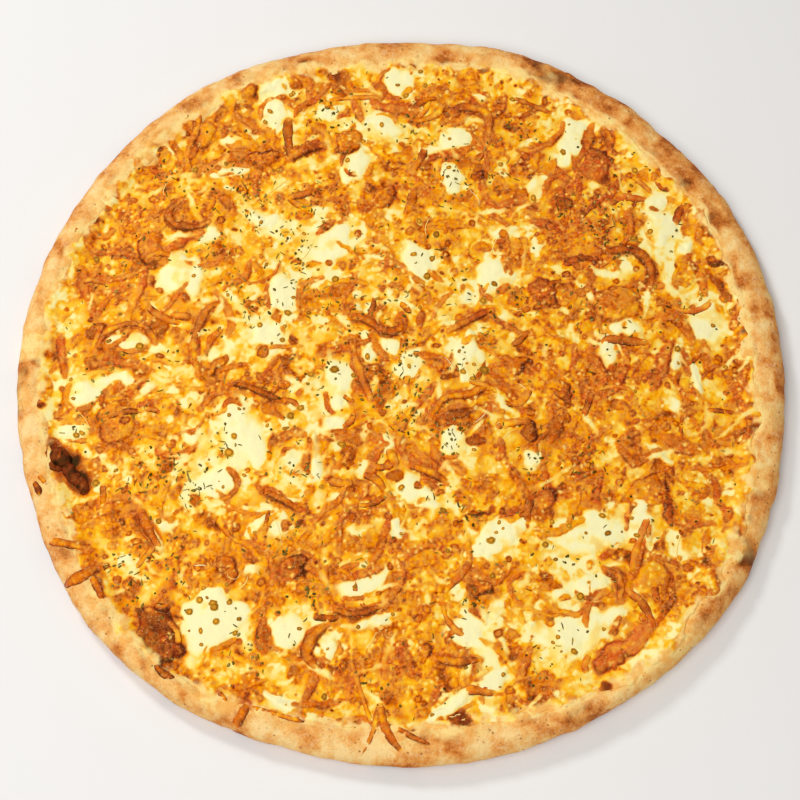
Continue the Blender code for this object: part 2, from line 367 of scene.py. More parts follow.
@dataclass(frozen=True)
class CheeseFinish:
    """Cheese from pale yellow through orange to dark brown, with creamy white, reddish and burnt places.

    Fine pinkish specks of painted highlight lie on the browned places, and duller patches everywhere.

    The mesh stores five numbers at each point: tone, from 0, pale yellow, to 1, dark brown, with painted
    shade and highlights mixed in; white, from 0 to 1, creamy white, with painted glints mixed in; red, how
    far brown turns to red; char, from 0 to 1, burnt; and dough, how far the cheese thins out over the dough.
    """

    name: str
    roughness: float = 0.22
    grain: float = 0.10
    relief: float = 0.24 * MM
    # colour of the painted highlights specked over browned cheese
    glint_colour: Colour = srgb(250, 184, 124)
    tones: Stops = stops(
        (0.00, 252, 230, 142), (0.12, 252, 212, 88), (0.26, 250, 188, 32), (0.40, 241, 154, 4),
        (0.54, 224, 120, 0), (0.68, 196, 88, 0), (0.84, 146, 52, 2), (1.00, 84, 26, 6),
    )
    reds: Stops = stops(
        (0.20, 244, 150, 70), (0.55, 212, 88, 26), (0.90, 110, 36, 18),
    )
    duller: Stops = stops(
        (0.00, 242, 206, 128), (0.25, 228, 174, 92), (0.42, 222, 150, 62), (0.58, 200, 114, 38),
        (0.78, 156, 74, 22), (1.00, 84, 34, 12),
    )
    creams: Stops = stops(
        (0.15, 253, 214, 88), (0.45, 252, 228, 134), (0.75, 250, 238, 168), (1.00, 248, 241, 186),
    )

    def material(self) -> Material:
        """Builds the material."""
        nodes = Nodes(self.name)
        fine = nodes.noise(0.9, 3.0, 0.6)
        broad = nodes.noise(4.0, 2.0)
        tone = nodes.attribute("tone") + (fine - 0.5) * self.grain * 1.2 + (broad - 0.5) * self.grain * 1.5
        white = nodes.attribute("white") + (fine - 0.5) * 0.12
        char = nodes.attribute("char") + (fine - 0.5) * 0.3
        colour = nodes.ramp(tone, self.tones)
        colour = nodes.mix(nodes.attribute("red"), colour, nodes.ramp(tone, self.reds))
        dull = nodes.noise(3.0, 3.0, 0.6).between(0.42, 0.60) * (tone.between(0.30, 0.55) * 0.5 + 0.3)
        colour = nodes.mix(dull, colour, nodes.ramp(tone, self.duller))
        colour = nodes.mix(white.between(0.12, 0.66), colour, nodes.ramp(white, self.creams))
        # Painted highlights: small pale pinkish specks on the browned tones.
        painted_glints = nodes.noise(1.0, 2.0, 0.7).between(0.55, 0.70) * tone.between(0.38, 0.56)
        colour = nodes.mix(painted_glints * 0.38, colour, self.glint_colour)
        colour = nodes.mix(nodes.attribute("dough"), colour, nodes.spilt_cheese())
        burnt = nodes.mix(char.between(0.55, 1.0), srgb(124, 46, 20), srgb(44, 16, 12))
        colour = nodes.mix(char.between(0.25, 0.62), colour, burnt)
        roughness = self.roughness + broad * 0.12 + char.between(0.3, 0.8) * 0.3
        height = fine * 0.6 + nodes.noise(0.35, 1.0) * 0.25
        nodes.shader.inputs["Subsurface Weight"].default_value = 0.04
        nodes.shader.inputs["Subsurface Radius"].default_value = (1.0, 0.5, 0.2)
        nodes.shader.inputs["Subsurface Scale"].default_value = 0.0006
        return nodes.finish(colour, roughness, height, self.relief)


@dataclass(frozen=True)
class CrustFinish:
    """Baked dough: floury peach with tan patches, brown specks and pores, and a baked brown underside."""

    name: str = "baked_crust"

    def material(self) -> Material:
        """Builds the material. The mesh stores baked, from 0, pale, to 1, brown, and cream, spilt cheese."""
        nodes = Nodes(self.name)
        broad = nodes.noise(14.0, 3.0, 0.55)
        middle = nodes.noise(3.6, 4.0, 0.65)
        fine = nodes.noise(0.9, 3.0, 0.65)
        baked = nodes.attribute("baked") + (broad - 0.5) * 2.2 + (middle - 0.5) * 0.8 + (fine - 0.5) * 0.3
        colour = nodes.ramp(
            baked,
            stops(
                (0.00, 248, 212, 146), (0.25, 242, 186, 110), (0.50, 228, 150, 72),
                (0.75, 192, 104, 40), (1.00, 118, 56, 24),
            ),
        )
        flour = (nodes.noise(2.6, 4.0, 0.7) + (broad - 0.5) * 0.6).between(0.52, 0.72)
        floury = flour * (1.0 - baked.between(0.40, 0.80)) * 0.4
        colour = nodes.mix(floury, colour, srgb(248, 222, 176))
        colour = nodes.mix(nodes.attribute("cream"), colour, nodes.spilt_cheese())
        speck = 1.0 - nodes.cells(2.8).between(0.10, 0.24)
        speck = speck * nodes.noise(5.0, 2.0).between(0.48, 0.60)
        colour = nodes.mix(speck * 0.7, colour, srgb(140, 74, 32))
        pore = 1.0 - nodes.cells(1.5).between(0.06, 0.24)
        roughness = 0.62 + fine * 0.18
        height = fine * 0.5 + middle * 0.8 - pore * 0.4 - speck * 0.2
        return nodes.finish(colour, roughness, height, 0.5 * MM)


@dataclass(frozen=True)
class BlisterFinish:
    """Small round blisters: a dark ring round a lighter top.

    The mesh stores ring, from 0 in the middle to 1 at the edge, and tone, how dark the blister is.
    """

    name: str = "browned_blisters"

    def material(self) -> Material:
        """Builds the material."""
        nodes = Nodes(self.name)
        fine = nodes.noise(0.7, 2.0)
        ring = nodes.attribute("ring") + (fine - 0.5) * 0.2
        light = nodes.ramp(
            ring,
            stops(
                (0.00, 236, 172, 60), (0.40, 220, 150, 36), (0.62, 160, 94, 8), (0.80, 196, 136, 24),
                (1.00, 250, 218, 110),
            ),
        )
        colour = nodes.mix(nodes.attribute("tone") * 0.6, light, srgb(104, 54, 12))
        return nodes.finish(colour, 0.26 + fine * 0.2, fine, 0.1 * MM)


@dataclass(frozen=True)
class PlainFinish:
    """A finish whose colour changes from one small thing to the next and mottles: herbs and threads."""

    name: str
    first: Colour
    second: Colour
    third: Colour
    roughness: float

    def material(self) -> Material:
        """Builds the material. The mesh stores tone, a number from 0 to 1 for each small piece."""
        nodes = Nodes(self.name)
        fine = nodes.noise(0.5, 2.0)
        tone = nodes.attribute("tone") + (fine - 0.5) * 0.3
        colour = nodes.ramp(tone, ((0.0, self.first), (0.55, self.second), (1.0, self.third)))
        return nodes.finish(colour, self.roughness + fine * 0.15, fine, 0.08 * MM)


# ---------------------------------------------------------------- meshes


def deselect() -> None:
    """Deselects every object, so that an operator acts on nothing it shouldn't."""
    if bpy.context.mode != "OBJECT":
        bpy.ops.object.mode_set(mode="OBJECT")
    bpy.ops.object.select_all(action="DESELECT")


def activate(obj: Object) -> None:
    """Makes an object the only one selected and the active one."""
    deselect()
    obj.select_set(True)
    bpy.context.view_layer.objects.active = obj


@contextmanager
def editing() -> Iterator[None]:
    """Puts the active object in edit mode, with everything selected, for as long as the block lasts."""
    bpy.ops.object.mode_set(mode="EDIT")
    bpy.ops.mesh.select_all(action="SELECT")
    yield
    bpy.ops.object.mode_set(mode="OBJECT")


def points_of(obj: Object) -> Array:
    """The points of a mesh object, one row each."""
    flat = np.empty(len(obj.data.vertices) * 3, np.float32)
    obj.data.vertices.foreach_get("co", flat)
    return flat.reshape(-1, 3).astype(float)


def move_points(obj: Object, points: Array) -> None:
    """Gives a mesh object's points new places."""
    obj.data.vertices.foreach_set("co", np.ascontiguousarray(points, np.float32).ravel())
    obj.data.update()


def store(obj: Object, name: str, numbers: Array) -> None:
    """Stores a number at each point of a mesh object."""
    layer = obj.data.attributes.new(name, "FLOAT", "POINT")
    layer.data.foreach_set("value", np.ascontiguousarray(numbers, np.float32))


def delete_points(obj: Object, chosen: Array) -> None:
    """Deletes the chosen points of the active mesh object."""
    with editing():
        bpy.ops.mesh.select_mode(type="VERT")
        bpy.ops.mesh.select_all(action="DESELECT")
    obj.data.vertices.foreach_set("select", chosen)
    bpy.ops.object.mode_set(mode="EDIT")
    bpy.ops.mesh.delete(type="VERT")
    bpy.ops.object.mode_set(mode="OBJECT")


def mesh_object(name: str, points: Array, faces: Array) -> Object:
    """Makes a mesh object from arrays of points and of faces with equal numbers of corners."""
    mesh = bpy.data.meshes.new(name)
    mesh.vertices.add(len(points))
    mesh.vertices.foreach_set("co", np.ascontiguousarray(points, np.float32).ravel())
    mesh.loops.add(faces.size)
    mesh.loops.foreach_set("vertex_index", np.ascontiguousarray(faces, np.int32).ravel())
    mesh.polygons.add(len(faces))
    mesh.polygons.foreach_set("loop_start", np.arange(len(faces), dtype=np.int32) * faces.shape[1])
    mesh.update(calc_edges=True)
    mesh.shade_smooth()
    obj = bpy.data.objects.new(name, mesh)
    bpy.context.scene.collection.objects.link(obj)
    return obj


def dress(obj: Object, material: Material, replaced: Iterable[str] = ()) -> Object:
    """Gives a piece its material and its body, and hides the CAD nodes it stands for."""
    obj.data.materials.clear()
    obj.data.materials.append(material)
    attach(obj, "root")
    names = list(replaced)
    if names:
        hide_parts(*names)
    LOG.info("%s: %d faces", obj.name, len(obj.data.polygons))
    return obj


def nodes_named(start: str) -> list[str]:
    """The CAD nodes whose names start like that, in order."""
    return [name for name in sorted(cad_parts) if name.startswith(start)]


def copy_of_node(node: str, name: str) -> Object:
    """A CAD node's mesh as a new object, its loose triangles merged and turned back into four-sided faces."""
    obj = bpy.data.objects.new(name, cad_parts[node].data.copy())
    bpy.context.scene.collection.objects.link(obj)
    activate(obj)
    with editing():
        bpy.ops.mesh.remove_doubles(threshold=0.005 * MM)
        bpy.ops.mesh.tris_convert_to_quads(face_threshold=math.radians(60), shape_threshold=math.radians(80))
    bpy.ops.object.shade_smooth()
    return obj


def apply_subdivision(obj: Object, levels: int) -> None:
    """Rounds a mesh with the Subdivision Surface modifier and applies it."""
    activate(obj)
    modifier = obj.modifiers.new("Rounding", "SUBSURF")
    modifier.levels = modifier.render_levels = levels
    bpy.ops.object.modifier_apply(modifier=modifier.name)


@dataclass
class Template:
    """The mesh of one small thing, to be repeated many times in a single mesh."""

    points: Array
    faces: Array

    @classmethod
    def from_active(cls) -> Template:
        """Takes the active object's mesh, cut into triangles, and removes the object."""
        with editing():
            bpy.ops.mesh.quads_convert_to_tris()
        obj = bpy.context.active_object
        faces = np.empty(len(obj.data.polygons) * 3, np.int32)
        obj.data.polygons.foreach_get("vertices", faces)
        made = cls(points_of(obj), faces.reshape(-1, 3))
        bpy.data.objects.remove(obj)
        return made

    def repeated(self, name: str, placed: Array) -> Object:
        """Joins copies into one mesh object.

        Args:
            name: the object's name.
            placed: the points of every copy, copies by points by 3.

        Returns:
            The object.
        """
        count = len(placed)
        faces = self.faces[None] + (np.arange(count) * len(self.points))[:, None, None]
        return mesh_object(name, placed.reshape(-1, 3), faces.reshape(-1, 3))


def laid_out(place: Array, turn: Array, along: Array, across: Array) -> Pair:
    """Turns the points of small things and moves them to their places.

    Args:
        place: the middle of each thing, things by 2.
        turn: how far each thing is turned, in radians.
        along: offsets along each thing, things by points.
        across: offsets across each thing, things by points.

    Returns:
        The points' x and y, things by points.
    """
    cos, sin = np.cos(turn)[:, None], np.sin(turn)[:, None]
    x = place[:, 0, None] + along * cos - across * sin
    y = place[:, 1, None] + along * sin + across * cos
    return x, y


# ---------------------------------------------------------------- ground and relief


class Drop:
    """Heights of a CAD node's upper side, from rays dropped on a coarse grid over the plan."""

    STEP = 2.0 * MM
    REACH = 172.0 * MM

    def __init__(self, node: str, missing: float) -> None:
        """Drops the rays.

        Args:
            node: the CAD node.
            missing: the height to take where a ray meets nothing.
        """
        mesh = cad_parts[node].data
        tree = BVHTree.FromPolygons(
            [vertex.co for vertex in mesh.vertices], [face.vertices for face in mesh.polygons]
        )
        self.count = int(self.REACH / self.STEP)
        side = 2 * self.count + 1
        down = Vector((0.0, 0.0, -1.0))
        self.heights = np.full((side, side), missing)
        for row in range(side):
            for column in range(side):
                start = Vector(((column - self.count) * self.STEP, (row - self.count) * self.STEP, 0.1))
                hit = tree.ray_cast(start, down)[0]
                if hit:
                    self.heights[row, column] = hit.z

    def at(self, x: Array, y: Array) -> Array:
        """Heights over points of the plan, blended from the grid's four nearest."""
        side = 2 * self.count
        u = np.clip(x / self.STEP + self.count, 0, side - 1e-6)
        v = np.clip(y / self.STEP + self.count, 0, side - 1e-6)
        column = u.astype(int)
        row = v.astype(int)
        return blended(self.heights, (row, row + 1), (column, column + 1), u - column, v - row)


@dataclass(frozen=True)
class Oval:
    """Place and size of an oval on the pizza, in metres and radians."""

    x: float
    y: float
    length: float
    width: float
    turn: float

    @classmethod
    def of_node(cls, node: str) -> Oval:
        """The oval that a CAD node fills in plan: its long way is the way its points spread most."""
        plan = points_of(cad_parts[node])[:, :2]
        middle = (plan.max(axis=0) + plan.min(axis=0)) / 2
        spread, ways = np.linalg.eigh(np.cov((plan - middle).T))
        long_way = ways[:, int(np.argmax(spread))]
        across = np.array((-long_way[1], long_way[0]))
        along_size = np.ptp((plan - middle) @ long_way)
        across_size = np.ptp((plan - middle) @ across)
        turn = math.atan2(long_way[1], long_way[0])
        return cls(float(middle[0]), float(middle[1]), float(along_size), float(across_size), turn)

    @classmethod
    def in_millimetres(cls, x: float, y: float, length: float, width: float, degrees: float) -> Oval:
        """An oval from sizes in millimetres and degrees."""
        return cls(x * MM, y * MM, length * MM, width * MM, math.radians(degrees))

    def shares(self, dx: Array, dy: Array) -> Pair:
        """Turns offsets from its middle into shares of its half length and of its half width."""
        along = (dx * math.cos(self.turn) + dy * math.sin(self.turn)) / (0.5 * self.length)
        across = (dy * math.cos(self.turn) - dx * math.sin(self.turn)) / (0.5 * self.width)
        return along, across


def raise_to(values: Array, part: Window, least: Array) -> None:
    """Raises part of a field to at least as much."""
    values[part] = np.maximum(values[part], least)


class Relief:
    """The melted cheese as fields over the plan, on a fine square grid.

    edge is the distance inside the cheese's edge and pool that inside the nearest pool's outline; z
    is the height, which never goes below least, and bump what the toppings add to it. tone, white,
    red, char and dough are what the cheese's finish reads, and burnt keeps the cream off the burns.
    """

    STEP = 0.445 * MM
    REACH = 156.5 * MM
    SECTORS = 128  # parts of the circle in which the cheese's edge is looked up
    SQUARENESS = 2.6  # 2 makes a lump's outline an oval, more makes it squarer

    def __init__(self) -> None:
        """Reads the bed, the crust and the bed's outline from the frame, and clears the fields."""
        self.crust = Drop("crust", 0.0)
        self.bed = Drop("melted_cheese", 0.0)
        self.half = int(self.REACH / self.STEP)
        axis = np.arange(-self.half, self.half + 1) * self.STEP
        self.x, self.y = np.meshgrid(axis, axis)
        self.edge = self._edge_distance()
        self.warp_x = 1.7 * MM * layered_noise(self.x, self.y, 8 * MM, 11, 2)
        self.warp_y = 1.7 * MM * layered_noise(self.x, self.y, 8 * MM, 12, 2)
        self.fine_x = 0.55 * MM * layered_noise(self.x, self.y, 3.2 * MM, 13)
        self.fine_y = 0.55 * MM * layered_noise(self.x, self.y, 3.2 * MM, 14)
        self.mottle = layered_noise(self.x, self.y, 1.9 * MM, 15)
        self.pool = np.full(self.x.shape, -1.0)
        self.z = self._level()
        self.bump, self.burnt = np.zeros_like(self.x), np.zeros_like(self.x)
        self.tone, self.white, self.red = (np.zeros_like(self.x) for _ in range(3))
        self.char, self.dough = np.zeros_like(self.x), np.zeros_like(self.x)

    def _edge_distance(self) -> Array:
        """Distance inside the cheese's ragged edge, positive inside."""
        plan = points_of(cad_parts["melted_cheese"])[:, :2]
        angle = np.arctan2(plan[:, 1], plan[:, 0])
        radius = np.hypot(plan[:, 0], plan[:, 1])
        outer = radius > 0.97 * radius.max() - 6 * MM
        bins = np.linspace(-math.pi, math.pi, self.SECTORS + 1)
        which = np.digitize(angle[outer], bins) - 1
        tops = np.array([radius[outer][which == sector].max(initial=0.0) for sector in range(self.SECTORS)])
        known = tops > 0
        middle = (bins[:-1] + bins[1:]) / 2
        here = np.arctan2(self.y, self.x)
        edge = np.interp(here, middle[known], tops[known], period=math.tau)
        ragged = 2.2 * MM * layered_noise(self.x, self.y, 9 * MM, 5) - 0.2 * MM
        ragged += 3.0 * MM * bell(here, -0.65, 0.4)
        return edge + ragged - np.hypot(self.x, self.y)

    def _level(self) -> Array:
        """Height of the smooth bed: the CAD bed, thinning to nothing at the edge. Also sets least."""
        crust = self.crust.at(self.x, self.y)
        self.least = crust + 0.9 * MM * smooth_step(0.0, 3 * MM, self.edge) - 0.2 * MM
        thickness = 0.2 * MM + 1.3 * MM * smooth_step(-0.5 * MM, 7 * MM, self.edge)
        rim = crust + thickness - 2.0 * MM * smooth_step(0.0, 1.6 * MM, -self.edge)
        bed = np.maximum(self.bed.at(self.x, self.y), 0.2 * MM)
        inside = smooth_step(3 * MM, 9 * MM, self.edge)
        return rim * (1 - inside) + bed * inside

    def window(self, x: float, y: float, reach: float) -> Window:
        """The rows and columns of the grid within reach of a point of the plan."""
        column = int(round(x / self.STEP)) + self.half
        row = int(round(y / self.STEP)) + self.half
        cells = int(reach / self.STEP) + 2
        top = 2 * self.half + 1
        rows = slice(max(row - cells, 0), min(row + cells, top))
        return rows, slice(max(column - cells, 0), min(column + cells, top))

    def height_at(self, x: Array, y: Array) -> Array:
        """Height of the cheese, or of the crust outside it, over points of the plan."""
        return np.maximum(self.read(self.z, x, y), self.crust.at(x, y))

    def read(self, values: Array, x: Array, y: Array) -> Array:
        """One of the fields over points of the plan."""
        column = np.clip(np.rint(x / self.STEP).astype(int) + self.half, 0, 2 * self.half)
        row = np.clip(np.rint(y / self.STEP).astype(int) + self.half, 0, 2 * self.half)
        return values[row, column]

    def at_point(self, values: Array, x: float, y: float) -> float:
        """One of the fields at one point of the plan."""
        return float(self.read(values, np.array(x), np.array(y)))

    def _wavering(self, part: Window, broad: float, fine: float) -> Pair:
        """The grid's x and y in a window, shifted by shares of the broad and of the fine warp."""
        x = self.x[part] + broad * self.warp_x[part] + fine * self.fine_x[part]
        y = self.y[part] + broad * self.warp_y[part] + fine * self.fine_y[part]
        return x, y

    def _lay_over(self, part: Window, cover: Array, tone: Array) -> None:
        """Lays a tone over part of the sheet and takes away the cream under it."""
        self.tone[part] += cover * (tone - self.tone[part])
        self.white[part] *= 1.0 - cover

    def whiten(self, cream: Array) -> None:
        """Makes the whole sheet at least as creamy as that."""
        self.white = np.maximum(self.white, cream)

    def add_pool(self, oval: Oval, seed: int) -> None:
        """Melts a white pool into the sheet: a low dome with a wandering outline.

        Args:
            oval: its place and size.
            seed: seed of its outline and of how softly it ends.
        """
        rng = np.random.default_rng(seed)
        part = self.window(oval.x, oval.y, 0.5 * oval.length + 6 * MM)
        x, y = self._wavering(part, 1.0, 0.0)
        dx, dy = x - oval.x, y - oval.y
        along, across = oval.shares(dx, dy)
        angle = np.arctan2(across, along)
        bulge = 1.0 + sum(0.09 * np.sin(waves * angle + rng.uniform(0, math.tau)) for waves in (2, 3, 5))
        share = np.hypot(along, across) / (1.10 * bulge) + 1e-6
        inside = np.clip(np.hypot(dx, dy) * (1.0 / share - 1.0), -9 * MM, 9 * MM)
        raise_to(self.pool, part, inside)
        soft = (1.3 + 0.9 * np.clip(np.sin(angle + rng.uniform(0, math.tau)), -0.7, 1.0)) * MM
        feathered = inside + 0.5 * self.fine_x[part] + 0.25 * MM * self.mottle[part]
        raise_to(self.white, part, smooth_step(-1.5 * soft, 1.9 * soft, feathered))
        dome = rng.uniform(0.5, 0.9) * MM * (1.0 - np.exp(-np.clip(inside, 0, None) / (2.5 * MM)))
        raise_to(self.bump, part, dome)

    def _beside(self, route: Array, width: float) -> tuple[Window, Array, Array, Array]:
        """Where the grid's points lie beside a route.

        Args:
            route: its points in plan.
            width: the width of what runs along it, in metres.

        Returns:
            The rows and columns within reach, how far each point of them is from the route, how far
            along the route it lies, from 0 to 1, and how far to the left of it.
        """
        middle = (route.min(axis=0) + route.max(axis=0)) / 2
        reach = 0.5 * float(np.ptp(route, axis=0).max()) + width
        part = self.window(float(middle[0]), float(middle[1]), reach)
        x, y = self._wavering(part, 0.3, 0.9)
        nearest = np.full(x.shape, 1.0)
        place = np.zeros(x.shape)
        side = np.zeros(x.shape)
        for index, (start, end) in enumerate(zip(route[:-1], route[1:])):
            way = end - start
            share = ((x - start[0]) * way[0] + (y - start[1]) * way[1]) / float(way @ way)
            share = np.clip(share, 0.0, 1.0)
            away = np.hypot(x - start[0] - share * way[0], y - start[1] - share * way[1])
            closer = away < nearest
            nearest = np.where(closer, away, nearest)
            place = np.where(closer, (index + share) / (len(route) - 1), place)
            left = (way[0] * (y - start[1]) - way[1] * (x - start[0])) / math.hypot(*way)
            side = np.where(closer, left, side)
        return part, nearest, place, side

    def add_shred(self, route: Array, width: float, strength: float) -> None:
        """Melts a pale shred into the sheet, soft at its edges and ends.

        Args:
            route: its points in plan.
            width: its width in metres.
            strength: how pale it is, from 0 to 1.
        """
        part, nearest, place, _ = self._beside(route, width)
        ends = np.sin(math.pi * np.clip(place, 0.0, 1.0)) ** 0.5
        off = nearest / (0.5 * width * (0.4 + 0.6 * ends)) - 0.25 * self.mottle[part]
        cover = smooth_step(1.30, 0.25, off) * strength * ends
        self.tone[part] += cover * (0.16 - self.tone[part])
        raise_to(self.white, part, cover)
        self.bump[part] += 0.22 * MM * cover

    def add_ridge(self, route: Array, width: float, height: float, tone: float) -> None:
        """Melts a strip of cheese into the sheet as a rounded ridge.

        Args:
            route: its points in plan.
            width: its width in metres.
            height: its height in metres.
            tone: how browned it is.
        """
        part, nearest, place, side = self._beside(route, width)
        taper = 0.55 + 0.45 * np.sin(math.pi * np.clip(place, 0.0, 1.0)) ** 0.6
        off = nearest / (0.5 * width * taper)
        body = np.sqrt(np.clip(1.0 - off**2, 0.0, 1.0))
        # The strip's tone has a dark rim, browned on both edges and darker on one side with painted shade,
        # and a painted highlight that lightens it along the top.
        turned = 1.0 if route[-1, 0] < route[0, 0] else -1.0
        shaded = 0.30 + 0.70 * smooth_step(-0.5, 0.7, turned * side / (0.5 * width))
        cover = smooth_step(1.22, 0.74, off)
        rim = shaded * bell(off, 0.88, 0.24)
        rough = 1.0 + 0.28 * self.mottle[part]
        raise_to(self.bump, part, height * body * rough + self.bump[part] * 0.35 * cover)
        fade = 0.45 + 0.55 * np.sin(math.pi * np.clip(place, 0, 1)) ** 0.5
        new_tone = tone * (0.7 + 0.3 * fade) + (0.27 * rim + 0.13 * self.mottle[part] - 0.08 * body) * fade
        raise_to(self.red, part, 0.45 * cover * (tone > 0.56))
        self._lay_over(part, cover, np.maximum(new_tone, 0.6 * self.tone[part]))

    def add_blob(self, oval: Oval, height: float, tone: float, line: float, fade: float | None) -> None:
        """Melts a browned blob or blister into the sheet.

        Args:
            oval: its place and size.
            height: its height in metres.
            tone: how browned it is.
            line: how much darker its outline is.
            fade: the way along which it runs into the cheese round it, in radians; None ends it crisply.
        """
        part = self.window(oval.x, oval.y, 0.65 * oval.length + 1.2 * MM)
        wander = min(1.0, oval.width / (4.5 * MM))
        x, y = self._wavering(part, 0.5 * wander, wander)
        dx, dy = x - oval.x, y - oval.y
        share = np.hypot(*oval.shares(dx, dy))
        inside = (1.0 - share) * 0.5 * oval.width
        cover = smooth_step(-0.40 * MM, 0.35 * MM, inside)
        outline = bell(inside, 0.30 * MM, 0.40 * MM)
        if fade is not None:
            way = (dx * math.cos(fade) + dy * math.sin(fade)) / (0.5 * oval.width)
            keep = 1.0 - 0.9 * smooth_step(-0.2, 1.1, way)
            cover = cover * keep
            outline = outline * keep
        dome = np.sqrt(np.clip(1.0 - share**2, 0.0, 1.0)) * cover
        grain = self.mottle[part] * wander
        raise_to(self.bump, part, 0.45 * self.bump[part] + height * dome * (1 + 0.25 * grain))
        self._lay_over(part, cover, tone + 0.07 * grain + line * outline)

    def add_patch(
        self, oval: Oval, height: float, tone: float, red: float, ribs: float, dark_side: float
    ) -> None:
        """Melts a large browned lump into the sheet, wrinkled across its length and darker along one side.

        Args:
            oval: its place and size.
            height: its height in metres.
            tone: how browned it is.
            red: how reddish it is, 0 to 1.
            ribs: how strong its wrinkles are, 0 to 1.
            dark_side: the way towards its darker side, in radians.
        """
        part = self.window(oval.x, oval.y, 0.75 * oval.length + 2 * MM)
        x, y = self._wavering(part, 1.3, 1.0)
        dx, dy = x - oval.x, y - oval.y
        along, across = oval.shares(dx, dy)
        power = self.SQUARENESS
        share = (np.abs(along) ** power + np.abs(across) ** power) ** (1 / power)
        inside = (1.0 - share) * 0.5 * oval.width
        cover = smooth_step(-0.5 * MM, 0.6 * MM, inside)
        dome = np.clip(1.0 - np.clip(share, 0, 1) ** 3, 0.0, 1.0) ** 0.6 * cover
        along, across = along * 0.5 * oval.length, across * 0.5 * oval.width
        wrinkles = ribs * layered_noise(along * 0.35, across * 1.6, 1.7 * MM, 19)
        wrinkles += 0.5 * self.mottle[part] + 0.5 * layered_noise(self.x[part], self.y[part], 4 * MM, 18)
        side = (dx * math.cos(dark_side) + dy * math.sin(dark_side)) / (0.5 * oval.width)
        outline = (0.14 + 0.14 * (side > 0)) * bell(inside, 0.4 * MM, 0.6 * MM)
        own = tone + 0.13 * wrinkles + 0.18 * smooth_step(0.1, 1.0, side) + outline
        self.bump[part] += cover * (height * dome * (1 + 0.14 * wrinkles) - 0.7 * self.bump[part])
        raise_to(self.red, part, red * cover * np.clip(0.8 + 0.5 * wrinkles, 0, 1))
        self._lay_over(part, cover, own)

    def add_burn(self, oval: Oval, strength: float) -> None:
        """Burns an oval patch, uneven at its edge."""
        part = self.window(oval.x, oval.y, oval.length + 2 * MM)
        x, y = self._wavering(part, 1.0, 1.0)
        share = np.hypot(*oval.shares(x - oval.x, y - oval.y)) + 0.18 * self.mottle[part]
        raise_to(self.char, part, strength * smooth_step(1.15, 0.45, share))
        halo = smooth_step(1.5, 0.9, share)
        self._lay_over(part, halo, 0.74 + 0.16 * self.mottle[part])
        raise_to(self.burnt, part, halo)


# ---------------------------------------------------------------- routes


def arc_route(
    x: float, y: float, heading: float, length: float, bend: float, hook: float, stations: int
) -> Array:
    """A curved route in plan.

    Args:
        x: its middle.
        y: its middle.
        heading: the way it runs at its start, in radians.
        length: its length in metres.
        bend: how far it turns from end to end, in radians.
        hook: how much further it turns over its last quarter, in radians.
        stations: how many points it has.

    Returns:
        The points, stations by 2.
    """
    share = (np.arange(stations - 1) + 0.5) / (stations - 1)
    turned = heading + bend * share + hook * np.clip(share - 0.75, 0, None) * 4
    steps = length / (stations - 1) * np.stack((np.cos(turned), np.sin(turned)), axis=1)
    route = np.vstack((np.zeros((1, 2)), np.cumsum(steps, axis=0)))
    return route - route.mean(axis=0) + np.array((x, y))


def through(points: Sequence[tuple[float, float]], stations: int) -> Array:
    """A smooth route in metres through points of the plan in millimetres."""
    spots = np.array(points, float) * MM
    ends = np.vstack((2 * spots[0] - spots[1], spots, 2 * spots[-1] - spots[-2]))
    route = []
    for place in np.linspace(0.0, len(spots) - 1, stations):
        piece = min(int(place), len(spots) - 2)
        t = place - piece
        a, b, c, d = ends[piece : piece + 4]
        route.append(
            0.5 * (2 * b + (c - a) * t + (2 * a - 5 * b + 4 * c - d) * t**2 + (3 * b - a - 3 * c + d) * t**3)
        )
    return np.array(route)


# Strips of browned cheese: width in millimetres, tone, and the points that the middle runs through.
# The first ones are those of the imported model.
StripPlan = tuple[float, float, tuple[tuple[float, float], ...]]
STRIPS_IN_CAD: tuple[StripPlan, ...] = (
    (6.0, 0.58, ((-109, -58), (-105, -66), (-99, -76))),
    (4.0, 0.58, ((-131, 11), (-127, 20), (-118, 24.5), (-110, 23), (-105, 16))),
    (5.0, 0.60, ((-77, 34), (-84, 30), (-89, 14), (-86, 1))),
    (3.6, 0.74, ((-73, -3), (-64, -5), (-48, -12))),
    (5.0, 0.66, ((-24, 27), (-14, 26), (-7, 21), (0, 22), (0, 29))),
    (5.0, 0.55, ((-20, 14), (-18, 5), (-15, -4), (-12, -10))),
    (5.0, 0.58, ((21, 21), (30, 26), (40, 31))), (5.0, 0.62, ((13, -18), (19, -10), (29, -8), (38, -4))),
    (4.6, 0.62, ((2, -39), (12, -42), (20, -47))), (4.6, 0.70, ((-59, -50), (-50, -54), (-42, -59))),
    (5.0, 0.66, ((-28, -101), (-18, -103), (-5, -99))),
    (6.0, 0.62, ((-30, -107), (-35, -112), (-38, -119), (-33, -126))),
    (5.0, 0.60, ((13, -121), (24, -122.5), (33, -121.5))), (5.0, 0.64, ((84, -84), (90, -88), (90, -98))),
    (5.4, 0.77, ((88, 58), (100, 59), (107, 55), (110, 48), (108, 40))),
    (5.0, 0.64, ((-96, 83), (-102, 77), (-99, 71), (-91, 70), (-84, 72))),
    (6.0, 0.60, ((22, 124), (27, 129), (36, 128), (40, 123), (39, 112))),
    (6.0, 0.62, ((-50, 103), (-42, 108), (-33, 110))),
)

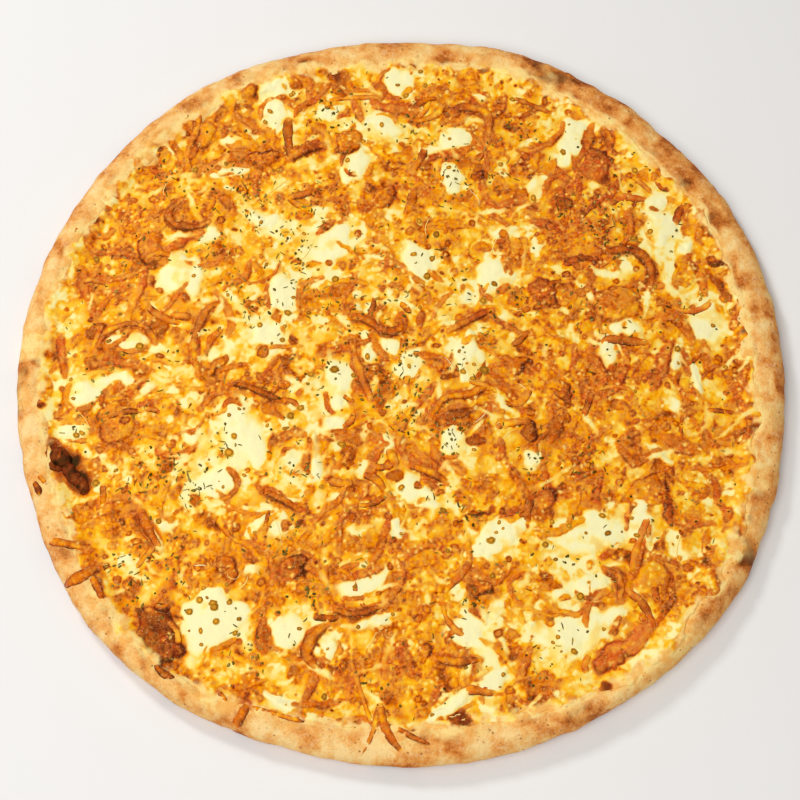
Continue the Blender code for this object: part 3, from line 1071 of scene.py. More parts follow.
STRIPS_BY_HAND: tuple[StripPlan, ...] = (
    (5.0, 0.64, ((-147, -72), (-138, -74), (-128, -76))),
    (6.4, 0.66, ((-138, -91), (-131, -88), (-124, -83))),
    (4.6, 0.68, ((-127, -87), (-124, -92), (-121, -98))),
    (6.4, 0.60, ((-61, -140), (-63, -144), (-66, -149))), (3.2, 0.66, ((-73, -135), (-69, -139))),
    (3.2, 0.60, ((-60, -141), (-50, -144), (-38, -147))),
    (2.6, 0.56, ((-9, -141), (-10, -148), (-12, -154), (-16, -160))),
    (4.4, 0.60, ((-8, -138), (-7, -146), (-4, -153), (1, -159))),
    (3.0, 0.62, ((-2, -149), (3, -152), (7, -154), (12, -156))), (3.0, 0.85, ((134, 53), (142, 52))),
    (3.0, 0.80, ((134, 49), (139, 43), (143, 35))),
    (4.0, 0.60, ((-131, 6), (-122, 7), (-113, 5), (-106, 3))), (4.0, 0.60, ((-121, -4), (-114, -8))),
    (5.0, 0.60, ((-139, 50), (-138, 43), (-136, 37))), (4.0, 0.62, ((-146, 18), (-145, 9), (-143, 0))),
    (4.0, 0.56, ((-13, 19), (-9, 12), (-5, 6))), (4.0, 0.80, ((19, -18), (25, -17), (32, -14))),
    (5.0, 0.62, ((14, -32), (18, -38), (26, -42))), (3.6, 0.60, ((-38, -30), (-40, -38), (-43, -43))),
    (5.0, 0.66, ((-33, -27), (-27, -26), (-21, -27))), (4.0, 0.62, ((-50, -28), (-46, -25), (-40, -26))),
    (4.0, 0.58, ((-1, -80), (1, -86), (-1, -92), (-6, -99))),
    (4.0, 0.58, ((-26, -88), (-17, -87), (-8, -83))),
    (5.0, 0.74, ((-55, -106), (-56, -113), (-55, -119))), (5.0, 0.60, ((1, -114), (2, -121), (5, -127))),
    (4.0, 0.56, ((-6, -117), (-7, -123), (-6, -129))), (4.0, 0.62, ((100, -72), (98, -80), (95, -88))),
    (4.0, 0.60, ((29, -85), (38, -89))), (4.0, 0.66, ((92, -30), (98, -38), (109, -33))),
    (7.0, 0.62, ((112, -27), (118, -31), (124, -33))),
    (4.0, 0.60, ((85, 18), (82, 10), (86, 4), (87, -2), (84, -10))),
    (4.0, 0.64, ((77, 2), (79, -5), (80, -12))), (6.0, 0.72, ((68, -17), (66, -23), (64, -28))),
    (6.0, 0.64, ((115, 15), (112, 5), (108, -5))), (4.0, 0.64, ((121, 13), (122, 7), (123, 1))),
    (3.0, 0.60, ((131, 17), (132, 10), (131, 4))),
    (4.0, 0.62, ((140, 12), (146, 7), (147, 0), (145, -6))),
    (5.6, 0.60, ((112, 27), (118, 28), (124, 22), (126, 17))),
    (4.0, 0.58, ((131, 48), (132, 43), (133, 38))), (3.4, 0.84, ((72, 53), (80, 55), (88, 54))),
    (4.0, 0.80, ((111, -52), (112, -58), (112, -65))),
    (4.6, 0.60, ((-92, 95), (-80, 103), (-74, 105), (-62, 104))),
    (4.0, 0.60, ((-96, 107), (-93, 113), (-91, 120), (-90, 126))),
    (4.0, 0.60, ((-103, 58), (-97, 62), (-92, 66), (-86, 67))),
    (4.0, 0.60, ((-72, 124), (-68, 121), (-64, 118))), (5.0, 0.62, ((-80, 86), (-76, 82), (-73, 77))),
    (5.0, 0.58, ((-11, 130), (-3, 129), (5, 127))), (5.0, 0.60, ((4, 124), (8, 130), (12, 136))),
    (3.6, 0.70, ((10, 101), (14, 104), (20, 106), (29, 104))),
    (5.0, 0.60, ((-43, 91), (-40, 87), (-37, 83))), (4.0, 0.60, ((-36, 67), (-32, 70), (-29, 73))),
    (4.0, 0.60, ((40, 78), (48, 82), (56, 84))),
    (3.0, 0.60, ((64, 86), (65, 90), (67, 94), (72, 95), (76, 92), (74, 86))),
    (5.0, 0.58, ((86, 120), (85, 112), (84, 105))), (5.0, 0.58, ((92, 118), (94, 113), (94, 108))),
    (4.0, 0.82, ((-99, -124), (-95, -128), (-90, -130))), (3.0, 0.60, ((-148, -48), (-151, -44))),
)


# ---------------------------------------------------------------- the cheese sheet


# Layers of browned granules: spacing, seed, height, share of cells filled, how far they spread
GRANULES = (
    (5.2 * MM, 64, 0.22 * MM, 0.29, 0.05),
    (3.4 * MM, 65, 0.16 * MM, 0.21, 0.00),
    (2.1 * MM, 66, 0.11 * MM, 0.16, 0.25),
)
LUMP_NODES = ("dark_slab", "red_slab", "ribbed_lump", "fan_lump", "orange_slab")


class Quarter(Enum):
    """The sheet's four quarters, by the signs of x and y."""

    BACK_RIGHT = (1, 1)
    BACK_LEFT = (-1, 1)
    FRONT_LEFT = (-1, -1)
    FRONT_RIGHT = (1, -1)


@dataclass
class CheeseSheet:
    """The melted cheese over the bed, with white pools, melted strips and browned grain.

    The counts are of the tries made; some fall away on the white pools or where little has browned.
    Sizes and places in the tables are in millimetres and angles in degrees:

    - lumps: x, y, length, width, turn, height, tone, redness, wrinkles and the way to the dark side;
    - small_pools: x, y, length, width and turn;
    - browned_zones and pale_zones: x, y, reach and strength;
    - marked_shreds: width, and the points that the middle runs through;
    - red_zones: x, y and reach;
    - burns: x, y, length, width, turn and strength.
    """

    relief: Relief
    melted_strips: int = 380
    blobs: int = 900
    blisters: int = 1500
    shreds: int = 340
    lumps: tuple[tuple[float, ...], ...] = (
        (-97, -112, 28, 14, -74, 1.6, 0.82, 0.70, 0.6, 15),
        (92, -116, 33, 9, 37, 1.5, 0.42, 0.95, 1.0, -120), (93, 34, 20, 18, 8, 2.2, 0.42, 0.35, 1.9, 170),
        (-120, -21, 18, 16, 30, 1.8, 0.43, 0.20, 0.6, 200),
        (-88, 115, 17, 10, 75, 1.4, 0.44, 0.0, 0.3, 200), (104, -88, 14, 15, 30, 0.9, 0.38, 0.0, 0.2, 0),
        (105, -50, 18, 12, 10, 1.2, 0.46, 0.1, 0.6, 60), (88, 100, 16, 15, 60, 1.0, 0.58, 0.7, 0.5, 30),
        (33, -94, 10, 6, 0, 0.8, 0.62, 0.2, 0.4, -60), (-78, 4, 7, 5, 80, 0.8, 0.60, 0.1, 0.3, -60),
        (10, -119, 8, 6, 60, 0.8, 0.56, 0.1, 0.4, 0), (55, -24, 7, 7, 0, 1.0, 0.78, 0.3, 0.3, 0),
        (51, 5, 8, 8, 0, 0.8, 0.60, 0.1, 0.3, 0), (-22, 112, 11, 10, 20, 1.2, 0.54, 0.1, 0.4, -90),
        (36, 96, 8, 4, 80, 0.8, 0.76, 0.6, 0.2, 0), (71, 82, 9, 6, 10, 1.2, 0.84, 0.4, 0.2, 0),
        (-110, 60, 14, 9, 60, 1.0, 0.52, 0.2, 0.5, 200), (-62, 104, 16, 7, 5, 1.0, 0.56, 0.2, 0.5, 90),
        (62, 40, 15, 10, 50, 0.9, 0.62, 0.3, 0.4, 0), (70, -8, 14, 9, 80, 0.9, 0.60, 0.3, 0.4, 0),
        (-8, 84, 14, 9, 10, 0.9, 0.54, 0.2, 0.4, 0), (-70, -84, 13, 9, 100, 1.0, 0.62, 0.5, 0.4, 0),
        (-45, -84, 14, 8, 20, 0.9, 0.60, 0.3, 0.4, 0), (60, -55, 14, 8, 30, 0.9, 0.56, 0.2, 0.4, 0),
    )
    small_pools: tuple[tuple[float, float, float, float, float], ...] = (
        (-98, -66, 10, 5, 90), (-46, -37, 9, 8, 0), (-36, -36, 18, 6, 85), (-28, -23, 9, 8, 0),
        (-15, 10, 12, 7, 70), (-4, 16, 10, 8, 0), (4, 5, 16, 10, 80), (-7, -31, 14, 7, 10),
        (22, -28, 14, 10, 85), (12, -57, 10, 5, 0), (27, -11, 8, 5, 0), (-4, -66, 15, 8, 80),
        (-29, -117, 12, 8, 70), (-14, -107, 20, 5, 10), (-47, -138, 22, 5, -25), (66, -94, 6, 5, 0),
        (55, -107, 6, 5, 0), (57, -35, 14, 10, 80), (68, -12, 8, 6, 0), (88, 13, 15, 7, 90),
        (97, 22, 14, 7, 0), (117, 5, 18, 5, 80), (126, 0, 20, 5, 95), (119, -13, 10, 9, 0),
        (109, -36, 14, 4, -40), (117, 42, 12, 8, 0), (-120, -1, 18, 6, -5), (-88, -28, 7, 6, 0),
        (28, 36, 8, 5, 60), (-4, 40, 8, 5, 0), (-75, 99, 16, 5, 10), (-106, 106, 14, 7, 45),
        (-129, 82, 9, 7, 0), (-84, 65, 12, 7, 20), (-60, 73, 12, 8, 0), (-57, 138, 11, 7, 0),
        (-30, 128, 12, 7, 20), (22, 96, 16, 12, 90), (36, 134, 8, 5, 0), (24, 133, 11, 5, 0),
        (45, 68, 13, 7, 15), (62, 91, 12, 8, 50), (114, 82, 12, 7, 0), (126, 60, 10, 6, 60),
        (-12, 60, 8, 6, 0), (-108, -4, 8, 5, 0), (60, 60, 7, 5, 30), (-20, 30, 8, 5, 0),
        (100, -92, 8, 5, 60), (40, -100, 9, 6, 20), (-62, -86, 8, 6, 0), (-112, -82, 7, 5, 0),
    )
    browned_zones: tuple[tuple[float, float, float, float], ...] = (
        (76, 56, 20, 1.0), (70, 42, 18, 0.7), (72, 0, 22, 0.75), (62, -40, 22, 0.8), (98, -6, 16, 0.7),
        (95, 92, 20, 1.0), (60, 122, 16, 0.6), (42, 108, 12, 0.6), (28, 140, 18, 0.7), (12, 80, 18, 0.9),
        (-30, 88, 14, 0.6), (-62, 98, 18, 0.7), (-84, 120, 16, 0.6), (-112, 76, 24, 0.9),
        (-138, 52, 18, 0.6), (-118, -22, 14, 0.7), (-106, -43, 14, 0.5), (-56, -4, 12, 0.5),
        (-118, -76, 18, 0.8), (-82, -80, 18, 1.0), (-42, -80, 16, 0.8), (4, -116, 18, 1.0),
        (-12, -134, 18, 0.7), (10, -78, 16, 0.7), (112, -90, 20, 0.6), (114, -58, 14, 0.6),
        (134, 0, 14, 0.6), (-58, -142, 14, 0.5),
    )
    pale_zones: tuple[tuple[float, float, float, float], ...] = (
        (-17, 126, 18, 1.0), (-65, 139, 14, 0.5), (26, 115, 10, 0.8), (14, 104, 11, 0.7),
        (76, 108, 13, 1.0), (117, 72, 14, 1.0), (135, 22, 12, 0.7), (-32, 63, 18, 1.0), (9, 54, 9, 0.8),
        (35, 39, 10, 0.8), (-61, 22, 12, 0.8), (-100, 44, 13, 0.7), (-139, -9, 13, 1.0),
        (-65, -24, 17, 1.0), (-82, -52, 17, 1.0), (-26, -13, 13, 0.7), (4, -43, 11, 0.7),
        (26, -17, 11, 0.8), (78, -74, 16, 0.6), (103, -72, 15, 1.0), (69, -113, 15, 1.0),
        (35, -112, 10, 0.8), (-78, -104, 14, 0.9), (-35, -113, 12, 0.4), (22, -143, 12, 0.8),
        (45, -136, 10, 0.7), (-43, -148, 12, 0.7), (113, -30, 9, 0.6), (-84, 10, 10, 0.6),
    )
    marked_shreds: tuple[tuple[float, tuple[tuple[float, float], ...]], ...] = (
        (4.0, ((82, 53), (89, 48), (97, 48), (104, 51))), (3.0, ((105, 45), (107, 36), (105, 27))),
        (3.6, ((76, 46), (81, 40), (84, 33))), (3.4, ((-104, 62), (-97, 66), (-88, 65))),
        (3.2, ((-70, 86), (-66, 78), (-60, 72))), (3.4, ((-78, 40), (-72, 36), (-66, 28))),
        (3.0, ((40, -4), (44, -12), (50, -18))), (3.2, ((-52, -40), (-46, -46), (-38, -50))),
        (3.4, ((-10, 34), (0, 34), (8, 30))),
    )
    red_zones: tuple[tuple[float, float, float], ...] = (
        (82, 86, 24), (68, 48, 18), (98, 0, 16), (132, -70, 24), (-104, -86, 16), (-118, 74, 14),
        (92, -116, 14),
    )
    burns: tuple[tuple[float, float, float, float, float, float], ...] = (
        (-141, -38, 17, 10, -30, 1.0), (-134, -47, 12, 9, -40, 1.0), (24, -145, 8, 6, 30, 0.46),
        (83, -133, 6, 4, 0, 0.6), (-27, 145, 6, 4, 0, 0.6), (90, 93, 6, 5, 0, 0.5),
        (71, 82, 8, 6, 0, 0.45), (-135, 73, 8, 3, 10, 0.6), (33, -60, 9, 2.5, 20, 0.8),
        (-43, -64, 5, 3, 60, 0.6), (-153, -13, 5, 4, 0, 0.7),
    )

    def shape(self) -> None:
        """Works out the relief's fields, from the pools up to the burns."""
        pools = self._add_pools()
        zone = self._zone()
        self._colour_ground(zone)
        self._add_masses(zone)
        self._add_blobs(zone)
        self._add_granules(zone)
        self._add_melted_strips(zone, pools)
        self._add_marked_strips_and_lumps()
        self._soften()
        self._add_shreds(zone)
        self._add_blisters(zone)
        self._add_grain(zone)
        for burn in self.burns:
            self.relief.add_burn(Oval.in_millimetres(*burn[:5]), burn[5])
        self._lift()
        self._finish_border()
        self._redden()
        self._finish_tones()

    def _add_pools(self) -> list[Oval]:
        """Melts the CAD's white pools and further small ones into the sheet."""
        pools = [Oval.of_node(name) for name in nodes_named("white_cheese")]
        pools += [Oval.in_millimetres(*place) for place in self.small_pools]
        for seed, oval in enumerate(pools):
            self.relief.add_pool(oval, 100 + seed)
        return pools

    def _colour_ground(self, zone: Array) -> None:
        """Colours the sheet in yellow and cream patches."""
        relief = self.relief
        x, y = relief.x, relief.y
        patches = layered_noise(x, y, 10 * MM, 21) + 0.6 * layered_noise(x, y, 4.5 * MM, 22)
        spots = layered_noise(x, y, 3.6 * MM, 23, 2)
        relief.tone[:] = 0.225 + 0.10 * patches + 0.13 * spots + 0.07 * relief.mottle + 0.15 * zone
        cream = 0.8 * layered_noise(x, y, 6.5 * MM, 24) + 0.7 * layered_noise(x, y, 2.8 * MM, 25, 2)
        cream -= 1.1 * (zone - 0.3)
        relief.whiten(0.80 * smooth_step(0.02, 0.85, cream))

    def _add_marked_strips_and_lumps(self) -> None:
        """Melts the strips and lumps that have a place of their own into the sheet."""
        for width, tone, points in (*STRIPS_IN_CAD, *STRIPS_BY_HAND):
            self.relief.add_ridge(through(points, 14), 1.05 * width * MM, 0.10 * width * MM, tone + 0.03)
        for lump in self.lumps:
            height, tone, red, ribs, dark_side = lump[5:]
            oval = Oval.in_millimetres(*lump[:5])
            self.relief.add_patch(oval, height * MM, tone, red, ribs, math.radians(dark_side))

    def _lift(self) -> None:
        """Lifts the sheet by what melted into it, and paints shade into its hollows."""
        relief = self.relief
        x, y = relief.x, relief.y
        swell = 0.35 * layered_noise(x, y, 22 * MM, 31) + 0.18 * layered_noise(x, y, 7 * MM, 32)
        ripple = 0.10 * relief.mottle * (1 - 0.75 * relief.white)
        inside = smooth_step(0.0, 4 * MM, relief.edge)
        relief.z += inside * (relief.bump - 0.45 * MM + MM * (swell + ripple))
        relief.z = np.where(relief.edge > 0.0, np.maximum(relief.z, relief.least), relief.z)
        # Painted shade: the tone darkens where the sheet dips below the sheet round it.
        hollow_shade = blurred(relief.z, 3.5) - relief.z
        relief.tone += np.clip(hollow_shade / MM, -0.4, 0.5) * 0.26 * (1 - relief.white)

    def _finish_border(self) -> None:
        """Thins the cheese out over the dough, browned in some places and creamy in others."""
        relief = self.relief
        x, y = relief.x, relief.y
        wander = 1.6 * MM * layered_noise(x, y, 5 * MM, 39)
        relief.dough = smooth_step(2.6 * MM, -0.6 * MM, relief.edge + 1.5 * wander) * (1 - relief.burnt)
        border = smooth_step(6 * MM, 0.5 * MM, relief.edge + wander)
        browning = layered_noise(x, y, 8 * MM, 35)
        relief.tone += border * (0.08 + 0.24 * browning)
        relief.whiten(border * smooth_step(-0.05, -0.5, browning) * 0.5 * (1 - relief.burnt))

    def _redden(self) -> None:
        """Turns the browned cheese reddish in patches and in the red zones."""
        relief = self.relief
        x, y = relief.x, relief.y
        reddish = 0.7 * smooth_step(-0.1, 0.7, layered_noise(x, y, 8 * MM, 36))
        for *spot, reach in self.red_zones:
            reddish += 0.55 * around_spot(x, y, spot, reach)
        relief.red += np.clip(reddish, 0.0, 0.8) * smooth_step(0.40, 0.60, relief.tone)

    def _finish_tones(self) -> None:
        """Sharpens the tones, and stains and softens the cream."""
        relief = self.relief
        relief.tone += 0.2 * (relief.tone - blurred(relief.tone, 2.2))
        stain = layered_noise(relief.x, relief.y, 7 * MM, 38) + 0.2 * relief.mottle
        relief.white *= 1 - 0.5 * smooth_step(0.2, 0.9, stain)
        relief.white = 0.55 * relief.white + 0.45 * blurred(relief.white, 1.5)

    def _soften(self) -> None:
        """Lets the browned cheese colour what lies round it: orange on the yellow, yellow on the white."""
        relief = self.relief
        brown = smooth_step(0.38, 0.54, relief.tone) * (1 - relief.white)
        patchy = smooth_step(-0.8, 0.4, layered_noise(relief.x, relief.y, 7 * MM, 37))
        near = smooth_step(0.02, 0.70, blurred(brown, 4.5)) * patchy * (1 - brown)
        relief.tone += near * np.clip(0.46 - relief.tone, 0.0, 0.3)
        relief.white *= 1 - 0.85 * smooth_step(0.12, 0.7, near)
        relief.tone = 0.6 * relief.tone + 0.4 * blurred(relief.tone, 1.1)

    def _scattered(self, rng: np.random.Generator, count: int, zone: Array, least: float) -> Array:
        """Places over the sheet, more of them where it has browned.

        Args:
            rng: the random numbers to use.
            count: how many places to try.
            zone: how browned each part of the sheet is.
            least: the share of tries that is kept where nothing has browned.

        Returns:
            The places kept, one row of x and y each.
        """
        x, y = in_disc(rng, 152 * MM, count)
        chance = least * 0.5 + (1 - least * 0.5) * np.clip(self.relief.read(zone, x, y), 0, 1)
        kept = rng.uniform(0, 1, count) < chance
        return np.stack((x, y), axis=1)[kept]

    def _add_blobs(self, zone: Array) -> None:
        """Melts browned blobs of many sizes into the sheet."""
        relief = self.relief
        rng = np.random.default_rng(3)
        for x, y in self._scattered(rng, self.blobs, zone, 0.42):
            clear = relief.at_point(relief.pool, x, y)
            length = rng.uniform(3.0, 11.0) * MM
            oval = Oval(x, y, length, length * rng.uniform(0.4, 0.85), rng.uniform(0, math.pi))
            tone = rng.uniform(0.40, 0.74)
            fade = rng.uniform(0, math.tau) if rng.uniform() < 0.6 else None
            if clear > -1.0 * MM and rng.uniform() < 0.88:
                continue
            relief.add_blob(oval, rng.uniform(0.12, 0.40) * MM, tone, rng.uniform(0.05, 0.2), fade)

    def _add_blisters(self, zone: Array) -> None:
        """Adds small round blisters, also on the white pools."""
        relief = self.relief
        rng = np.random.default_rng(4)
        for x, y in self._scattered(rng, self.blisters, zone, 0.55):
            small = rng.uniform() < 0.5
            length = rng.uniform(0.9, 1.8) * MM if small else rng.uniform(2.0, 4.6) * MM
            oval = Oval(x, y, length, length * rng.uniform(0.6, 1.0), rng.uniform(0, math.pi))
            tone = rng.uniform(0.50, 0.80) if small else rng.uniform(0.42, 0.66)
            line = rng.uniform(0.05, 0.15) if small else rng.uniform(0.10, 0.28)
            if relief.at_point(relief.white, x, y) > 0.5 and rng.uniform() < 0.75:
                continue
            relief.add_blob(oval, rng.uniform(0.12, 0.30) * MM, tone, line, None)

    def _zone(self) -> Array:
        """How browned each part of the sheet is, from -0.5, pale, to 1.2."""
        x, y = self.relief.x, self.relief.y
        zone = np.zeros_like(x)
        for *spot, reach, strength in self.browned_zones:
            zone = np.maximum(zone, strength * around_spot(x, y, spot, reach))
        zone += 0.25
        for *spot, reach, strength in self.pale_zones:
            zone -= 0.7 * strength * around_spot(x, y, spot, reach)
        return np.clip(zone + 0.22 * layered_noise(x, y, 12 * MM, 41), -0.5, 1.2)

    def _add_melted_strips(self, zone: Array, pools: Sequence[Oval]) -> None:
        """Melts grated strips into the sheet, at random and along the pools' edges."""
        relief = self.relief
        rng = np.random.default_rng(7)
        for _ in range(self.melted_strips):
            x, y = in_disc(rng, 150 * MM)
            length, heading = rng.uniform(6, 26) * MM, rng.uniform(0, math.tau)
            route = arc_route(x, y, heading, length, rng.normal(0, 1.2), rng.normal(0, 0.7), 9)
            width, height = rng.uniform(1.8, 3.9) * MM, rng.uniform(0.2, 0.5) * MM
            tone = 0.49 + 0.08 * min(relief.at_point(zone, x, y), 1.0) + rng.uniform(-0.08, 0.19)
            if relief.at_point(relief.pool, x, y) > -2.5 * MM and rng.uniform() < 0.85:
                continue
            relief.add_ridge(route, width, height, tone)
        for oval in pools:
            for _ in range(int(rng.integers(1, 4))):
                start, span = rng.uniform(0, math.tau), rng.uniform(0.5, 1.5)
                turn = start + span * np.linspace(0.0, 1.0, 7)
                grow = rng.uniform(0.85, 1.15)
                along = 0.5 * oval.length * grow * np.cos(turn)
                across = 0.5 * oval.width * grow * np.sin(turn)
                x = oval.x + along * math.cos(oval.turn) - across * math.sin(oval.turn)
                y = oval.y + along * math.sin(oval.turn) + across * math.cos(oval.turn)
                tone = rng.uniform(0.46, 0.74)
                width, height = rng.uniform(1.8, 3.6) * MM, rng.uniform(0.2, 0.5) * MM
                relief.add_ridge(np.stack((x, y), axis=1), width, height, tone)

    def _add_masses(self, zone: Array) -> None:
        """Browns the sheet in wandering masses and winding bands, each with a darker outline."""
        relief = self.relief
        x, y = relief.x + relief.fine_x, relief.y + relief.fine_y
        lean = 0.8 * (zone - 0.35) - 2.0 * np.where(relief.pool > -2 * MM, relief.white, 0.0)
        masses = layered_noise(x, y, 9 * MM, 43) + lean - 0.10
        bands = 0.24 - np.abs(layered_noise(x, y, 11 * MM, 44, 2))
        broken = layered_noise(x, y, 13 * MM, 45, 2) + 0.6 * lean
        bands = np.minimum(bands * 1.6, broken)
        shade = layered_noise(x, y, 6.5 * MM, 46)
        for inside, height, tone in ((masses, 0.20 * MM, 0.42), (bands, 0.30 * MM, 0.50)):
            body = smooth_step(-0.14, 0.16, inside)
            line = bell(inside, 0.12, 0.10) * smooth_step(-0.2, 0.5, shade)
            own = tone + 0.03 + 0.24 * shade + 0.14 * relief.mottle + 0.14 * line
            relief.tone += body * (own - relief.tone)
            relief.white *= 1 - body
            relief.bump += height * smooth_step(-0.05, 0.35, inside) * (1 + 0.2 * relief.mottle)
        for spacing, seed in ((8 * MM, 47), (5 * MM, 48)):
            vein = bell(layered_noise(x, y, spacing, seed, 2), 0.0, 0.07)
            vein *= smooth_step(-0.1, 0.5, layered_noise(x, y, 9 * MM, seed + 2)) * (1 - relief.white)
            relief.tone += 0.75 * vein * (0.22 - relief.tone)
            relief.whiten(0.42 * vein)

    def _add_shreds(self, zone: Array) -> None:
        """Melts pale shreds into the sheet: short bent streaks of cream that end softly."""
        relief = self.relief
        rng = np.random.default_rng(27)
        for width, points in self.marked_shreds:
            relief.add_shred(through(points, 10), width * MM, 0.85)
        lumps = np.array(self.lumps)[:, :4] * MM
        for x, y in self._scattered(rng, self.shreds, 1.0 - zone, 0.9):
            if (np.hypot(lumps[:, 0] - x, lumps[:, 1] - y) < 0.5 * lumps[:, 2] + 4 * MM).any():
                continue
            length, width = rng.uniform(6, 18) * MM, rng.uniform(1.8, 3.6) * MM
            heading, bend, hook = rng.uniform(0, math.tau), rng.normal(0, 1.0), rng.normal(0, 0.6)
            route = arc_route(x, y, heading, length, bend, hook, 8)
            relief.add_shred(route, width, rng.uniform(0.35, 0.75))

    def _add_granules(self, zone: Array) -> None:
        """Packs small browned granules, each with a darker outline, over paler cheese."""
        relief = self.relief
        x, y = relief.x + 1.1 * relief.fine_x, relief.y + 1.1 * relief.fine_y
        patches = layered_noise(relief.x, relief.y, 9 * MM, 54, 2)
        for spacing, seed, height, share, bias in GRANULES:
            cover = smooth_step(-0.1, 0.3, patches + 1.5 * (zone - 0.5) + bias) * (1 - relief.white)
            away, mark = cell_pattern(x, y, spacing, seed)
            chosen = (np.modf(mark * 7.0)[0] < share) * cover
            size = 0.30 + 0.16 * mark
            inside = (size - away) * spacing
            body = smooth_step(-0.35 * MM, 0.30 * MM, inside) * chosen
            line = bell(inside, 0.25 * MM, 0.34 * MM) * chosen
            shade = 0.38 + 0.26 * np.modf(mark * 13.0)[0] + 0.08 * relief.mottle
            dome = np.sqrt(np.clip(1 - (away / size) ** 2, 0, 1)) * chosen
            relief.tone += body * (shade - relief.tone) * 0.8 + 0.12 * line
            relief.tone -= 0.05 * cover * (1 - body)
            relief.bump += height * dome

    def _add_grain(self, zone: Array) -> None:
        """Adds fine bubbly grain where the cheese has browned, small domes with darker lines between."""
        relief = self.relief
        x, y = relief.x, relief.y
        browned = smooth_step(0.25, 0.55, relief.tone) * (1 - relief.white)
        patches = layered_noise(x, y, 7 * MM, 51) + 1.2 * (zone - 0.4)
        cover = browned * (0.35 + 0.65 * smooth_step(-0.2, 0.5, patches))
        layers = ((2.6 * MM, 61, 0.14 * MM, 0.09), (1.45 * MM, 62, 0.11 * MM, 0.12))
        for spacing, seed, height, shade in layers:
            away, mark = cell_pattern(x + 0.6 * relief.fine_x, y + 0.6 * relief.fine_y, spacing, seed)
            dome = np.clip(1.0 - (away / (0.42 + 0.3 * mark)) ** 2, 0.0, 1.0) ** 0.7
            relief.bump += cover * height * (dome - 0.4)
            relief.tone += cover * shade * (0.6 - 1.1 * dome + 0.8 * (mark - 0.5))
        self._add_painted_glints(browned)
        self._add_curds(zone)

    def _add_painted_glints(self, browned: Array) -> None:
        """Paints tiny pale glints into the browned cheese's colour, as painted highlights."""
        relief = self.relief
        away, mark = cell_pattern(relief.x, relief.y, 1.25 * MM, 63)
        patches = smooth_step(0.1, 0.6, layered_noise(relief.x, relief.y, 6 * MM, 52))
        # Painted highlights: the glints are cream dots in the colour, with a small bump under each.
        painted_glint = smooth_step(0.42, 0.20, away) * (mark > 0.78) * patches * browned
        relief.whiten(0.6 * painted_glint)
        relief.bump += 0.10 * MM * painted_glint

    def _add_curds(self, zone: Array) -> None:
        """Lets curds of cream show through the yellow cheese, and strews small flecks of it."""
        relief = self.relief
        x, y = relief.x, relief.y
        away, mark = cell_pattern(x + relief.fine_x, y + relief.fine_y, 2.4 * MM, 66)
        patches = smooth_step(-0.2, 0.4, layered_noise(x, y, 8 * MM, 53))
        flecks = smooth_step(0.5, 0.1, away) * (mark > 0.60) * patches
        curds = layered_noise(x, y, 2.6 * MM, 67, 2) + 0.6 * layered_noise(x, y, 9 * MM, 68) - 0.4 * zone
        curds = smooth_step(0.20, 0.95, curds) * (1 - smooth_step(0.34, 0.50, blurred(relief.tone, 1.5)))
        relief.tone -= 0.12 * curds + 0.18 * flecks
        relief.whiten(np.maximum(0.60 * curds, 0.58 * flecks))

    def build(self, material: Material) -> None:
        """Makes the sheet's four quarters, which together stand for the bed, its pools and its lumps."""
        stood_for = ["melted_cheese", *nodes_named("white_cheese"), *LUMP_NODES]
        for quarter in Quarter:
            replaced = stood_for if quarter is Quarter.BACK_RIGHT else []
            dress(self._quarter(quarter), material, replaced)

    def _quarter(self, quarter: Quarter) -> Object:
        """One quarter: a grid cut to the ragged edge, raised by the relief, and closed below."""
        relief = self.relief
        right, back = quarter.value
        span = relief.half * relief.STEP
        deselect()
        bpy.ops.mesh.primitive_grid_add(
            x_subdivisions=relief.half,
            y_subdivisions=relief.half,
            size=span,
            location=(right * span / 2, back * span / 2, 0.0),
        )
        obj = bpy.context.active_object
        obj.name = f"cheese_sheet_{quarter.name.lower()}"
        bpy.ops.object.transform_apply(location=True, rotation=True, scale=True)
        points = points_of(obj)
        delete_points(obj, relief.read(relief.edge, points[:, 0], points[:, 1]) < -1.8 * MM)
        points = points_of(obj)
        points[:, 2] = relief.read(relief.z, points[:, 0], points[:, 1])
        move_points(obj, points)
        for name in ("tone", "white", "red", "char", "dough"):
            store(obj, name, relief.read(getattr(relief, name), points[:, 0], points[:, 1]))
        bpy.ops.object.shade_smooth()
        return obj


# ---------------------------------------------------------------- strips and lumps


def sampled(values: Array, spot: Array) -> Array:
    """Reads routes, or values along them, at fractional numbers of their stations.

    Args:
        values: routes by stations, or routes by stations by 2.
        spot: the numbers, the same for every route.

    Returns:
        The values, routes by spots, or routes by spots by 2.
    """
    low = np.minimum(spot.astype(int), values.shape[1] - 2)
    share = (spot - low).reshape((1, -1) + (1,) * (values.ndim - 2))
    return values[:, low] + (values[:, low + 1] - values[:, low]) * share


def planned(plans: Sequence[StripPlan], stations: int, scale: float) -> tuple[Array, Array, Array]:
    """The routes, widths and tones of planned strips; scale turns a plan's width into metres."""
    routes = np.array([through(points, stations) for _, _, points in plans])
    widths = np.array([width * scale for width, _, _ in plans])
    return routes, widths, np.array([tone for _, tone, _ in plans])


